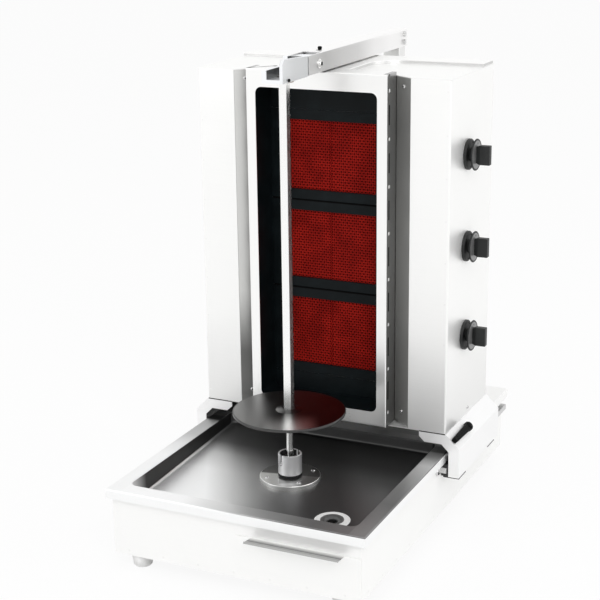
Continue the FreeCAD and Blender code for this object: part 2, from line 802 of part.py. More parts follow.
def lock_stud():
    """Stud of the clamp lever with its collar; its ball end stands just off the base deck."""
    radius = lever_stud_diameter / 2
    ball_height = pan_top + body_gap + radius
    depth = (lever_centre().z - ball_height) * math.sqrt(2)
    neck = radius - 1.2
    collar = lever_hub_diameter / 2 - 2
    stud = turned([(0, -depth), (neck, -depth), (neck, body_gap), (collar, body_gap), (collar, 1), (neck, 1),
                   (neck, lever_height - 5.3), (0, lever_height - 5.3)])
    ball = Part.makeSphere(radius, Vector(0, 0, -depth))
    return to_slope(stud.fuse(ball).removeSplitter())


def arm_post():
    """Rear post on a foot plate with two gussets, whose top reaches up inside the arm."""
    half = arm_half_width - arm_sheet
    front = arm_rear - arm_sheet - post_depth
    rear = arm_rear - arm_sheet
    top = arm_top - arm_sheet - 1.6
    up = Vector(0, 0, 1)
    tube = rounded_block(-half, half, front, rear, pan_top, top, 2.5, up)
    hollow = box(-half + post_sheet, half - post_sheet, front + post_sheet, rear - post_sheet,
                 pan_top + post_foot_sheet, top - post_sheet)
    foot = rounded_block(-post_foot_width / 2, post_foot_width / 2, front - 4, rear + 4, pan_top,
                         pan_top + post_foot_sheet, 6, up)
    gusset_top = pan_top + 70
    middle = (front + rear) / 2
    gusset_low = pan_top + post_foot_sheet - 0.5
    gusset = flat_shape("xz", [(half - 0.5, gusset_low), (post_foot_width / 2 - 4, gusset_low),
                               (half - 0.5, gusset_top)], middle - 2, middle + 2)
    return tube.cut(hollow).fuse([foot, gusset, mirror_x(gusset)]).removeSplitter()


def base_screws():
    """Fasteners of the base: rail screws and round rail stops, and the post's hexagon screws."""
    group = []
    z = rail_bottom + rail_height / 2
    for y in rail_screw_places():
        head = screw_head(4.5, 3, (base_half - sheet, y, z), (-1, 0, 0))
        group.extend([head, mirror_x(head)])
    stop = screw_head(7, 4, (base_half, rail_front - 19, z + 3), (1, 0, 0))
    group.extend([stop, mirror_x(stop)])
    front = arm_rear - arm_sheet - post_depth
    rear = arm_rear - arm_sheet
    size = post_screw_head / 2
    for x in (-post_foot_width / 2 + 10, post_foot_width / 2 - 10):
        for y in (front + 4, rear - 2):
            group.append(hexagon((x, y, pan_top + post_foot_sheet), (0, 0, 1), size, 4))
    for z in (arm_bottom + 9, arm_top - 9):
        for side in (-1, 1):
            at = (side * arm_half_width, (front + rear) / 2, z)
            group.append(hexagon(at, (side, 0, 0), size, 4))
    return Part.makeCompound(group)


def hexagon(at, direction, size, height):
    """Hexagon head on a face."""
    points = []
    for i in range(6):
        angle = math.radians(60 * i)
        points.append(Vector(size * math.cos(angle), size * math.sin(angle), 0))
    head = Part.Face(Part.makePolygon(points + [points[0]])).extrude(Vector(0, 0, height))
    head.Placement = FreeCAD.Placement(Vector(*at), FreeCAD.Rotation(Vector(0, 0, 1), Vector(*direction)))
    return head


def arm_channel():
    """Top arm: a channel open below, closed at the rear, its web cut back in front for the head's tongue."""
    half = arm_half_width
    path = [(half, arm_bottom), (half, arm_top), (-half, arm_top), (-half, arm_bottom)]
    channel = bent_sheet("xz", path, arm_sheet, arm_front, arm_rear, 1.5)
    rear = box(-half + 1, half - 1, arm_rear - arm_sheet, arm_rear, arm_bottom, arm_top - 1)
    arm = channel.fuse(rear).removeSplitter()
    notch = tongue_half_width + body_gap
    swing_gap = box(-notch, notch, arm_front - 1, arm_slot_rear, arm_top - arm_sheet - 2, arm_top + 1)
    bolt = rod(pivot_bolt_diameter / 2 + run_gap, (-half - 1, pivot_y, pivot_z), (half + 1, pivot_y, pivot_z))
    knob_slot = rounded_block(-3.6, 3.6, latch_knob_y - latch_travel - 3.7, latch_knob_y + 3.7,
                              arm_top - arm_sheet - 1, arm_top + 1, 3.5, Vector(0, 0, 1))
    return arm.cut([swing_gap, bolt, knob_slot])


def pivot_bolt():
    """Bolt on which the head hinges, with a round head and washers outside the arm."""
    side = arm_half_width
    shank = rod(pivot_bolt_diameter / 2, (-side - 5, pivot_y, pivot_z), (side + 1, pivot_y, pivot_z))
    washer = rod(8.5, (side, pivot_y, pivot_z), (side + 1.5, pivot_y, pivot_z))
    head = screw_head(5.5, 4.0, (side + 1.5, pivot_y, pivot_z), (1, 0, 0))
    nut = hexagon((-side, pivot_y, pivot_z), (-1, 0, 0), 8, 5)
    return shank.fuse([washer, head, nut]).removeSplitter()


def latch_guide():
    """Block under the arm's web in which the latch bar slides."""
    top = arm_top - arm_sheet
    half = arm_half_width - arm_sheet - 2
    gap = body_gap
    front = arm_slot_rear + 2
    rear = front + 52
    block = box(-half, half, front, rear, pivot_z - latch_thickness / 2 - 4, top)
    channel = box(-latch_half_width - gap, latch_half_width + gap, front - 1, rear + 1,
                  pivot_z - latch_thickness / 2 - gap, pivot_z + latch_thickness / 2 + gap)
    stem = box(-3.6, 3.6, latch_knob_y - latch_travel - 3.7, latch_knob_y + 3.7, pivot_z, top + 1)
    return block.cut([channel, stem])


def head_latch():
    """Latch bar with its stem and small black pull knob on the arm."""
    low = pivot_z - latch_thickness / 2
    bar = box(-latch_half_width, latch_half_width, latch_nose_y, latch_nose_y + latch_length, low,
              low + latch_thickness)
    nose = edges_where(bar, lambda p: abs(p.y - latch_nose_y) < 0.01 and abs(p.x) > latch_half_width - 0.01)
    bar = bar.makeChamfer(2, nose)
    stem = rod(3, (0, latch_knob_y, pivot_z), (0, latch_knob_y, arm_top + 2))
    radius = latch_knob_diameter / 2
    foot = arm_top + 0.8
    top = arm_top + latch_knob_height
    knob = turned([(0, foot), (radius - 0.7, foot), (radius, foot + 1), (radius, top - 1.2),
                   (radius - 1.2, top), (0, top)], (0, latch_knob_y))
    return bar.fuse([stem, knob]).removeSplitter()


def spit_head():
    """Head: a low and a high cheek on a web with the spit's hole, and a rounded tongue hinged in the arm."""
    rear = arm_front - head_gap
    side = [(-head_front, head_bottom), (rear, head_bottom), (rear, head_rise_rear),
            (-head_front + 8, head_rise_front), (-head_front, head_rise_front - 8)]
    block = flat_shape("yz", side, -arm_half_width, arm_half_width)
    floor = head_bottom + head_web
    hollow = box(-arm_half_width + head_left_cheek, arm_half_width - head_right_cheek, -head_front - 1,
                 rear - 8, floor, head_rise_front + 1)
    low_side = box(-arm_half_width - 1, 0, -head_front - 1, rear - 16, head_left_top, head_rise_front + 1)
    head = block.cut([hollow, low_side])
    tongue_low = pivot_z - tongue_radius
    tongue_high = pivot_z + tongue_radius
    half = tongue_half_width
    tongue = box(-half, half, rear - 1, pivot_y, tongue_low, tongue_high)
    knuckle = rod(tongue_radius, (-half, pivot_y, pivot_z), (half, pivot_y, pivot_z))
    head = head.fuse([tongue, knuckle]).removeSplitter()
    bore = rod(pivot_bolt_diameter / 2 + run_gap, (-30, pivot_y, pivot_z), (30, pivot_y, pivot_z))
    gap = body_gap
    notch = box(-latch_half_width - gap, latch_half_width + gap, pivot_y + 7, pivot_y + 30,
                pivot_z - latch_thickness / 2 - gap, pivot_z + latch_thickness / 2 + gap)
    hole = rod(bush_bore_diameter / 2 + bush_wall + run_gap, (0, 0, head_bottom - 1), (0, 0, floor + 1))
    return head.cut([bore, notch, hole])


def head_screw():
    """Black cap screw in the head's high cheek that clamps the bush."""
    return screw_head(2.9, 2.6, (arm_half_width, -24, head_bottom + 3.6), (1, 0, 0))


def head_bush():
    """Bronze bush in the head's web, with a flange below, in which the spit's corners turn."""
    bore = bush_bore_diameter / 2
    wall = bore + bush_wall
    flange = bush_flange_diameter / 2
    low = head_bottom - 3
    high = head_bottom + head_web
    return turned([(bore + 0.6, low), (flange - 0.6, low), (flange, low + 0.6), (flange, head_bottom),
                   (wall, head_bottom), (wall, high), (bore, high), (bore, low + 0.6)])


def housing_casing():
    """Casing of the burner housing: sides, front panels, bottom and rear returns, with knob holes."""
    up = Vector(0, 0, 1)
    outer = rounded_block(-housing_half, housing_half, housing_front, housing_rear, housing_bottom,
                          housing_top, bend + sheet, up)
    inner_half = housing_half - sheet
    inner = rounded_block(-inner_half, inner_half, housing_front + sheet, housing_rear - sheet,
                          housing_bottom + sheet, housing_top + 1, bend, up)
    shell = outer.cut(inner)
    front_window = box(-wing_outer_x, wing_outer_x, housing_front - 1, housing_front + sheet + 3,
                       housing_bottom + sheet, housing_top + 1)
    margin = rear_window_margin
    window_half = housing_half - margin
    rear_window = box(-window_half, window_half, housing_rear - sheet - 3, housing_rear + 1,
                      housing_bottom + margin, housing_top - margin)
    holes = [rod(valve_stem_diameter / 2 + 3, (housing_half - 5, knob_y, z), (housing_half + 5, knob_y, z))
             for z in knob_heights]
    return shell.cut([front_window, rear_window] + holes)


def raised_outline(inset, low, high):
    """Flared raised part of the top: narrow under the arm, sweeping out to the full width behind."""
    neck = 45.0 - inset
    sweep = 60.0 + inset
    front = frame_rear + 3 + inset
    neck_end = 273.0
    bar_front = neck_end + 60.0 + inset
    side = housing_half - 2 - inset
    rear = housing_rear - 2 - inset
    turn_x = neck + sweep
    lean = sweep * math.sin(math.radians(45))
    corners = [(-neck, front), (neck, front), (neck, bar_front - sweep)]
    edges = [Part.makeLine(Vector(-neck, front, low), Vector(neck, front, low)),
             Part.makeLine(Vector(neck, front, low), Vector(neck, bar_front - sweep, low)),
             Part.Arc(Vector(neck, bar_front - sweep, low),
                      Vector(turn_x - lean, bar_front - sweep + lean, low),
                      Vector(turn_x, bar_front, low)).toShape(),
             Part.makeLine(Vector(turn_x, bar_front, low), Vector(side, bar_front, low)),
             Part.makeLine(Vector(side, bar_front, low), Vector(side, rear, low)),
             Part.makeLine(Vector(side, rear, low), Vector(-side, rear, low)),
             Part.makeLine(Vector(-side, rear, low), Vector(-side, bar_front, low)),
             Part.makeLine(Vector(-side, bar_front, low), Vector(-turn_x, bar_front, low)),
             Part.Arc(Vector(-turn_x, bar_front, low),
                      Vector(-turn_x + lean, bar_front - sweep + lean, low),
                      Vector(-neck, bar_front - sweep, low)).toShape(),
             Part.makeLine(Vector(-neck, bar_front - sweep, low), Vector(-neck, front, low))]
    return Part.Face(Part.Wire(edges)).extrude(Vector(0, 0, high - low))


def housing_lid():
    """Top cover: flat in front, with the flared raised part under the arm and along the rear."""
    low = housing_top
    flat_top = low + sheet
    raised_top = arm_bottom - 2.5
    wing_in = frame_half_width + body_gap
    plate = flat_shape("xy", [
        (-housing_half, housing_front), (-wing_outer_x, housing_front), (-wing_in, frame_rear + 1),
        (wing_in, frame_rear + 1), (wing_outer_x, housing_front), (housing_half, housing_front),
        (housing_half, housing_rear), (-housing_half, housing_rear)], low, flat_top)
    lid = plate.fuse(raised_outline(0, low, raised_top)).removeSplitter()
    top_edges = edges_where(lid, lambda p: abs(p.z - raised_top) < 0.01)
    lid = lid.makeFillet(1.8, top_edges)
    foot_edges = edges_where(lid, lambda p: abs(p.z - flat_top) < 0.01 and abs(p.x) < housing_half - 1
                             and frame_rear + 2 < p.y < housing_rear - 1)
    lid = lid.makeFillet(1.5, foot_edges)
    hollow = raised_outline(sheet, low - 1, raised_top - sheet)
    return lid.cut(hollow)


def rear_cover():
    """Rear cover with three groups of vent slots and a hole for the gas inlet."""
    margin = rear_window_margin - 8
    y0 = housing_rear
    plate = box(-housing_half + margin, housing_half - margin, y0, y0 + thin_sheet,
                housing_bottom + margin, housing_top - margin)
    slots = []
    back = y0 + thin_sheet + 1
    half = vent_slot_length / 2
    for z in burner_centres:
        for i in range(-4, 5):
            low = z + vent_slot_pitch * i - vent_slot_width / 2
            slots.append(rounded_block(-half, half, y0 - 1, back, low, low + vent_slot_width,
                                       vent_slot_width / 2 - 0.1, Vector(0, 1, 0)))
    inlet = rod(manifold_diameter / 2 + 1.5, (valve_x, y0 - 1, inlet_z), (valve_x, y0 + 5, inlet_z))
    return plate.cut(slots + [inlet])


def housing_screws():
    """Screws of the rear cover, of the side panels and of the wings."""
    margin = rear_window_margin - 4
    group = []
    y = housing_rear + thin_sheet
    for x in (-housing_half + margin, housing_half - margin):
        for i in range(4):
            z = housing_bottom + 20 + (housing_top - housing_bottom - 40) * i / 3
            group.append(screw_head(3.6, 2.2, (x, y, z), (0, 1, 0)))
    side_head = screw_head(3.6, 1.5, (housing_half, side_screw_y, housing_bottom + 11.5), (1, 0, 0))
    group.extend([side_head, mirror_x(side_head)])
    slope = Vector(wing_outer_x - frame_half_width, housing_front + sheet - frame_rear, 0).normalize()
    outward = (slope.y, -slope.x, 0)
    x = (frame_half_width + wing_outer_x) / 2
    y = (frame_rear + housing_front + sheet) / 2
    for z in (frame_bottom + 24, frame_top - 24):
        head = screw_head(3.6, 1.8, (x, y, z), outward)
        group.extend([head, mirror_x(head)])
    return Part.makeCompound(group)


def burner_frame():
    """Bright burner frame: front with the rounded mouth, and returns with air holes and slots."""
    half = frame_half_width
    outer = box(-half, half, frame_front, frame_rear, frame_bottom, frame_top)
    outer = outer.makeFillet(bend, edges_where(outer, lambda p: abs(p.y - frame_front) < 0.01))
    hollow = box(-half + sheet, half - sheet, frame_front + sheet, frame_rear + 1, frame_bottom + sheet,
                 frame_top - sheet)
    mouth = rounded_block(-mouth_half_width, mouth_half_width, frame_front - 1, frame_front + sheet + 1,
                          mouth_bottom, mouth_top, mouth_radius, Vector(0, 1, 0))
    frame = outer.cut([hollow, mouth])
    tab = box(half - sheet, half, frame_rear - 1, frame_rear + frame_tab, frame_bottom + 2, housing_top - 2)
    frame = frame.fuse([tab, mirror_x(tab)]).removeSplitter()
    y = frame_front + side_hole_setback
    side = side_hole_size / 2
    cuts = []
    for i in range(side_hole_count):
        z = side_hole_first + side_hole_pitch * i
        cuts.append(box(-half - 1, half + 1, y - side, y + side, z - side, z + side))
        if i < side_hole_count - 1:
            slot = z + side_hole_pitch / 2
            cuts.append(box(-half - 1, half + 1, y - side_slot_width / 2, y + side_slot_width / 2,
                            slot - side_slot_length / 2, slot + side_slot_length / 2))
    return frame.cut(cuts)


def burner_lining():
    """Black enamelled lining behind the mouth, with filler panels above and below the burners."""
    t = thin_sheet
    across = Vector(0, 1, 0)
    front = frame_front + sheet
    gap = 0.5
    half = mouth_half_width + gap
    outer = rounded_block(-half - t, half + t, front, burner_face, mouth_bottom - gap - t,
                          mouth_top + gap + t, mouth_radius + t, across)
    inner = rounded_block(-half, half, front - 1, burner_face + 1, mouth_bottom - gap, mouth_top + gap,
                          mouth_radius, across)
    tube = outer.cut(inner)
    side = half + t
    below = box(-side, side, burner_face, burner_face + t, mouth_bottom - gap - t, burners_low - gap)
    above = box(-side, side, burner_face, burner_face + t, burners_high + gap, mouth_top + gap + t)
    return tube.fuse([below, above]).removeSplitter()


def burner_body(z):
    """Infrared burner: flange plate with its window, hollow box, and mixing tube towards the valve."""
    half = mouth_half_width + 0.5 + thin_sheet
    t = 2.0
    low = z - burner_height / 2
    high = z + burner_height / 2
    y0 = burner_face
    plate = box(-half, half, y0, y0 + t, low, high)
    lip = rounded_block(-half + 3, half - 3, y0 + t, y0 + 8, low + 3, high - 3, 3, Vector(0, 1, 0))
    box_half = burner_box_width / 2
    body = rounded_block(-box_half, box_half, y0 + t, y0 + t + burner_box_depth, z - burner_box_height / 2,
                         z + burner_box_height / 2, 8, Vector(0, 1, 0))
    tube_z = z + knob_above_burner
    radius = venturi_diameter / 2
    elbow_x = -40.0
    bell_x = venturi_mouth_x - 14
    tube = rod(radius, (elbow_x, knob_y, tube_z), (bell_x, knob_y, tube_z))
    bell = Part.makeCone(radius, radius + 4, 14, Vector(bell_x, knob_y, tube_z), Vector(1, 0, 0))
    elbow = Part.makeSphere(radius, Vector(elbow_x, knob_y, tube_z))
    link = rod(radius, (elbow_x, y0 + t + burner_box_depth - 1, tube_z), (elbow_x, knob_y, tube_z))
    burner = plate.fuse([lip, body, tube, bell, elbow, link]).removeSplitter()
    pocket = box(-plaque_width - 0.6, plaque_width + 0.6, y0 - 1, y0 + 4 + plaque_depth,
                 z - plaque_height / 2 - 0.6, z + plaque_height / 2 + 0.6)
    ledge = 5.0
    wall = 2.5
    back = y0 + t + burner_box_depth
    chamber = box(-plaque_width + ledge, plaque_width - ledge, y0 + plaque_depth, back - wall,
                  z - plaque_height / 2 + ledge, z + plaque_height / 2 - ledge)
    throat = rod(radius - wall, (elbow_x, knob_y, tube_z), (venturi_mouth_x + 1, knob_y, tube_z))
    turn = Part.makeSphere(radius - wall, Vector(elbow_x, knob_y, tube_z))
    entry = rod(radius - wall, (elbow_x, back - wall - 1, tube_z), (elbow_x, knob_y, tube_z))
    return burner.cut([pocket, chamber, throat, turn, entry])


def ceramic_plaques(z):
    """Two ceramic plaques of one burner, side by side in its window."""
    y0 = burner_face + 3.5
    group = []
    for x in (-plaque_width, 0.15):
        plaque = box(x, x + plaque_width - 0.15, y0, y0 + plaque_depth + 0.5, z - plaque_height / 2,
                     z + plaque_height / 2)
        plaque = plaque.makeChamfer(0.8, edges_where(plaque, lambda p: abs(p.y - y0) < 0.01))
        group.append(plaque)
    return Part.makeCompound(group)


def wing_right():
    """Right wing: bright reflector sloping from the casing's front back to the burner frame."""
    inner = frame_half_width
    path = [(inner, frame_rear + wing_return), (inner, frame_rear), (wing_outer_x, housing_front + sheet),
            (wing_outer_x + wing_return, housing_front + sheet)]
    return bent_sheet("xy", path, thin_sheet, frame_bottom, housing_top, 1.5)


def gas_manifold():
    """Gas pipe from its connection behind the rear cover up past the valves, with a branch to each."""
    x = valve_x
    radius = manifold_diameter / 2
    high = knob_heights[-1] + 20
    pipe = rod(radius, (x, manifold_y, inlet_z), (x, manifold_y, high))
    elbow = Part.makeSphere(radius, Vector(x, manifold_y, inlet_z))
    run = rod(radius, (x, manifold_y, inlet_z), (x, housing_rear + 30, inlet_z))
    nut = hexagon((x, housing_rear + thin_sheet + body_gap, inlet_z), (0, 1, 0), radius + 3, 9)
    cap = rod(radius + 2, (x, manifold_y, high - 6), (x, manifold_y, high + 4))
    branches = [rod(6, (x, knob_y + valve_size / 2, z), (x, manifold_y, z)) for z in knob_heights]
    collars = [rod(radius + 2.5, (x, manifold_y, z - 9), (x, manifold_y, z + 9)) for z in knob_heights]
    tree = pipe.fuse([elbow, run, nut, cap] + branches + collars).removeSplitter()
    bore = rod(radius - 2.5, (x, housing_rear + 8, inlet_z), (x, housing_rear + 40, inlet_z))
    return tree.cut(bore)


def gas_valve(z):
    """Gas valve: cast block, collar at the panel, outlet pipe and brass injector facing the mixing tube."""
    x = valve_x
    half = valve_size / 2
    block = rounded_block(x - half, x + half, knob_y - half, knob_y + half, z - half, z + half, 5,
                          Vector(1, 0, 0))
    collar = rod(9, (x + half - 1, knob_y, z), (housing_half - sheet - body_gap, knob_y, z))
    pipe = rod(5, (venturi_mouth_x + 12, knob_y, z), (x - half + 1, knob_y, z))
    nozzle = hexagon((venturi_mouth_x + 3, knob_y, z), (1, 0, 0), 8, 14)
    body = block.fuse([collar, pipe, nozzle]).removeSplitter()
    bore = rod(valve_stem_diameter / 2 + run_gap, (x, knob_y, z), (housing_half, knob_y, z))
    return body.cut(bore)


def valve_stem(z):
    """Valve stem with a flat for the knob."""
    x = valve_x
    radius = valve_stem_diameter / 2
    end = housing_half + knob_bezel_height + knob_gap + knob_socket_depth - 0.5
    stem = rod(radius, (x + body_gap, knob_y, z), (end, knob_y, z))
    flat = box(end - 10, end + 1, knob_y - radius, knob_y - radius + 1.5, z - radius, z + radius)
    return stem.cut(flat)


def knob_bezels():
    """Round bezels on the side panel, one behind each knob, with a bevelled and dished front."""
    outer = knob_bezel_diameter / 2
    hole = valve_stem_diameter / 2 + 3
    front = knob_bezel_height
    bevel = knob_bezel_bevel
    group = []
    for z in knob_heights:
        ring = turned([(hole, 0), (outer, 0), (outer, front - bevel), (outer - bevel, front),
                       (outer - 4, front), (outer - 5.5, front - bevel), (hole, front - bevel)])
        group.append(aside(ring, housing_half, z))
    return Part.makeCompound(group)


def aside(shape, x, z):
    """Turn an upright piece so that its axis points right, and stand it on the side panel."""
    shape.rotate(Vector(0, 0, 0), Vector(0, 1, 0), 90)
    shape.translate(Vector(x, knob_y, z))
    return shape


def rectangle(half_u, half_v, height):
    """Closed rectangular wire about the upright axis at a height."""
    corners = [Vector(-half_u, -half_v, height), Vector(half_u, -half_v, height),
               Vector(half_u, half_v, height), Vector(-half_u, half_v, height)]
    return Part.makePolygon(corners + [corners[0]])


def knob(z):
    """Control knob: hub, thin skirt with a dished face, and a bar grip that flares from its root."""
    outer = knob_skirt_diameter / 2
    hub = knob_hub_diameter / 2
    under = knob_hub_height
    face = under + knob_skirt_thickness
    skirt = turned([(0, 0), (hub, 0), (hub, under), (outer - 0.8, under), (outer, under + 0.8),
                    (outer, face - 0.8), (outer - 0.8, face), (outer - 2.5, face), (outer - 3, face - 0.5),
                    (0, face - 0.5)])
    flare_top = face + knob_grip_flare
    top = face + knob_grip_reach
    root = rectangle(knob_grip_root_height / 2, knob_grip_root_width / 2, face - 1)
    wide = rectangle(knob_grip_height / 2, knob_grip_width / 2, flare_top)
    flare = Part.makeLoft([root, wide], True, True)
    block = rounded_block(-knob_grip_height / 2, knob_grip_height / 2, -knob_grip_width / 2,
                          knob_grip_width / 2, flare_top, top, 1.2, Vector(0, 0, 1))
    block = block.makeFillet(1.0, edges_where(block, lambda p: abs(p.z - top) < 0.01))
    body = skirt.fuse([flare, block]).removeSplitter()
    bore = rod(valve_stem_diameter / 2 + run_gap, (0, 0, -1), (0, 0, knob_socket_depth))
    return aside(body.cut(bore), housing_half + knob_bezel_height + knob_gap, z)


os.makedirs("parts", exist_ok=True)

save("base_shell", base_shell())
save("base_bottom", base_bottom())
save("feet", feet())
save("drip_pan", drip_pan())
save("drain_ring", drain_ring())
save("drawer_box", drawer_box())
save("drawer_front", drawer_front())
save("drawer_runners", drawer_runners())
save("gear_motor", gear_motor())
save("motor_bracket", motor_bracket())
save("bearing_flange", bearing_flange())
save("flange_screws", flange_screws())
save("shaft_seal", shaft_seal())
save("drive_shaft", drive_shaft())
save("bayonet_coupling", bayonet_coupling())
save("spit_rod", spit_rod())
save("cross_pin", cross_pin())
save("spit_plate", spit_plate())
save("plate_screw", plate_screw())

right_rail = slide_rail()
save("slide_rail_right", right_rail)
save("slide_rail_left", mirror_x(right_rail))
right_skirt = skirt_right()
save("skirt_right", skirt_with_nut(right_skirt))
save("skirt_left", mirror_x(right_skirt))
save("glide_shoes", glide_shoes())
save("lock_lever", lock_lever())
save("lock_stud", lock_stud())

save("arm_post", arm_post())
save("base_screws", base_screws())
save("arm_channel", arm_channel())
save("pivot_bolt", pivot_bolt())
save("latch_guide", latch_guide())
save("head_latch", head_latch())
save("spit_head", spit_head())
save("head_bush", head_bush())
save("head_screw", head_screw())

save("housing_casing", housing_casing())
save("housing_lid", housing_lid())
save("rear_cover", rear_cover())
save("housing_screws", housing_screws())
save("burner_frame", burner_frame())
save("burner_lining", burner_lining())
right_wing = wing_right()
save("wing_right", right_wing)
save("wing_left", mirror_x(right_wing))
save("gas_manifold", gas_manifold())
save("knob_bezels", knob_bezels())

for number, (burner_z, knob_z) in enumerate(zip(burner_centres, knob_heights), 1):
    label = "_" + str(number)
    save("burner_body" + label, burner_body(burner_z))
    save("ceramic_plaques" + label, ceramic_plaques(burner_z))
    save("gas_valve" + label, gas_valve(knob_z))
    save("valve_stem" + label, valve_stem(knob_z))
    save("knob" + label, knob(knob_z))
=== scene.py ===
import math
import bmesh
import bpy
from mathutils import Matrix, Vector


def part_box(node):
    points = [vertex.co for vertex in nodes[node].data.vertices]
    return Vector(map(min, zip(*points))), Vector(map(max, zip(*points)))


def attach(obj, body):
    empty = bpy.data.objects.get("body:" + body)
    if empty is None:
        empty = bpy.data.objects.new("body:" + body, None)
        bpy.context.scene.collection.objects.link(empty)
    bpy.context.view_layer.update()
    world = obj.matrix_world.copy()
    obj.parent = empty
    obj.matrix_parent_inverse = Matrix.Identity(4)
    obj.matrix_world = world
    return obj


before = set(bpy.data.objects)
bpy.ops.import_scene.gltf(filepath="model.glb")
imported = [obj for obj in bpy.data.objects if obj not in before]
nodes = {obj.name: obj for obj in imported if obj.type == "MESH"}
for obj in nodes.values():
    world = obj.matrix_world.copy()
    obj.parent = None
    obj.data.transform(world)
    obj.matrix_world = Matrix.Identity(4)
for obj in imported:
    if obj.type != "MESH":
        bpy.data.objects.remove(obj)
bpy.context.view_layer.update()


# Base shell and bottom: the folded box that everything stands on, in 1.5 mm brushed stainless
# sheet. Its walls are spot-welded at the corners and the bottom tray is welded in from below.
class Wire:
    """One output in a node tree. Sums on it add Math nodes, and add() makes any other node."""

    def __init__(self, tree, socket=None):
        self.tree = tree
        self.socket = socket

    def add(self, kind, settings=None, sockets=None, out=0):
        """A new node with its settings, its inputs set or linked, and one of its outputs."""
        node = self.tree.nodes.new(kind)
        for key, value in (settings or {}).items():
            if key == "stops":
                while len(node.color_ramp.elements) < len(value):
                    node.color_ramp.elements.new(0.5)
                for stop, (place, colour) in zip(node.color_ramp.elements, value):
                    stop.position = place
                    stop.color = colour
            else:
                setattr(node, key, value)
        for key, value in (sockets or {}).items():
            for one in value if isinstance(value, list) else [value]:
                if isinstance(one, Wire):
                    self.tree.links.new(one.socket, node.inputs[key])
                else:
                    node.inputs[key].default_value = one
        return Wire(self.tree, node.outputs[out] if node.outputs else None)

    def math(self, operation, first, second=0.0):
        """A Math node on one or two values."""
        return self.add("ShaderNodeMath", {"operation": operation}, {0: first, 1: second})

    def __add__(self, other):
        return self.math("ADD", self, other)

    __radd__ = __add__

    def __sub__(self, other):
        return self.math("SUBTRACT", self, other)

    def __rsub__(self, other):
        return self.math("SUBTRACT", other, self)

    def __mul__(self, other):
        return self.math("MULTIPLY", self, other)

    __rmul__ = __mul__

    def size(self):
        """The value without its sign."""
        return self.math("ABSOLUTE", self)

    def root(self):
        """The square root."""
        return self.math("POWER", self, 0.5)

    def fraction(self):
        """What lies behind the decimal point."""
        return self.math("FRACT", self)

    def larger(self, other):
        """The larger of two values."""
        return self.math("MAXIMUM", self, other)

    def along(self, axis):
        """One coordinate of a place."""
        return self.add("ShaderNodeSeparateXYZ", None, {0: self}, axis)

    def axes(self):
        """All three coordinates of a place."""
        return [self.along(axis) for axis in range(3)]

    def rise(self, low, high):
        """0 below low, 1 above high and a smooth rise between, or the other way round."""
        ends = {"Value": self, "From Min": min(low, high), "From Max": max(low, high),
                "To Min": 0.0 if low < high else 1.0, "To Max": 1.0 if low < high else 0.0}
        return self.add("ShaderNodeMapRange", {"interpolation_type": "SMOOTHSTEP"}, ends)

    def blend(self, first, second):
        """A colour between two, by this value."""
        return self.add("ShaderNodeMix", {"data_type": "RGBA"}, {0: self, 6: first, 7: second}, 2)

    def pick(self, first, second):
        """A level between two, by this value."""
        return first + self * (second - first)

    def ramp(self, *stops):
        """A level that follows (place, level) stops in straight runs."""
        first, last = stops[0][0], stops[-1][0]
        greys = [((at - first) / (last - first), (level, level, level, 1.0)) for at, level in stops]
        along = (self - first) * (1 / (last - first))
        return self.add("ShaderNodeValToRGB", {"stops": greys}, {0: along})

    def noise(self, stretch, detail=3.0):
        """Cloudy pattern on a place, with its own stretch along X, Y and Z."""
        at = self.add("ShaderNodeVectorMath", {"operation": "MULTIPLY"}, {0: self, 1: stretch})
        return at.add("ShaderNodeTexNoise", None, {"Vector": at, "Scale": 1.0, "Detail": detail})

    def bump(self, strength, distance):
        """A relief from this height."""
        return self.add("ShaderNodeBump", None,
                        {"Strength": strength, "Distance": distance, "Height": self})


black = (0, 0, 0, 1)


def start(name):
    """An empty material and the place on the piece that its patterns read."""
    material = bpy.data.materials.new(name)
    material.use_nodes = True
    material.node_tree.nodes.clear()
    return material, Wire(material.node_tree).add("ShaderNodeTexCoord", out="Object")


def finish_with(place, sockets):
    """The surface shader and the output of a material."""
    surface = place.add("ShaderNodeBsdfPrincipled", None, sockets)
    place.add("ShaderNodeOutputMaterial", None, {"Surface": surface})


def tone(colour, much):
    """A colour made lighter or darker, with full opacity."""
    return tuple(min(1.0, c * much) for c in colour[:3]) + (1.0,)


def brushed(name, tint, rough, grain=(8, 8, 900), level=None, spread=0.04, metal=1.0):
    """Brushed sheet: fine grain lines, soft smudges and dust, times a level by the place."""
    material, place = start(name)
    lines = place.noise(grain, 4.0)
    smudge = place.noise((7, 7, 7))
    dust = place.noise((90, 90, 90), 2.0)
    light = (1 - spread) + 2 * spread * (0.55 * lines + 0.45 * smudge)
    if level:
        light = light * level(place)
    finish_with(place, {
        "Base Color": light.blend(black, tint + (1.0,)), "Metallic": metal,
        "Roughness": rough - 0.11 + 0.12 * smudge + 0.07 * lines + 0.03 * dust,
        "Normal": lines.bump(0.25, 0.00006)})
    return material


def dress(material, *names):
    """Put a finish on CAD pieces."""
    for name in names:
        for slot in nodes[name].material_slots:
            slot.material = material


def deck_level(place):
    """The rear deck is darker where the burner housing keeps the light from it."""
    y, z = place.along(1), place.along(2)
    return 1 - 0.85 * z.rise(0.1475, 0.1485) * y.rise(0.44, 0.3)


dress(brushed("base sheet", (0.97, 0.97, 0.96), 0.4, level=deck_level, metal=0.5), "base_shell")
dress(brushed("bottom sheet", (0.5, 0.5, 0.49), 0.45, (300, 6, 6)), "base_bottom")


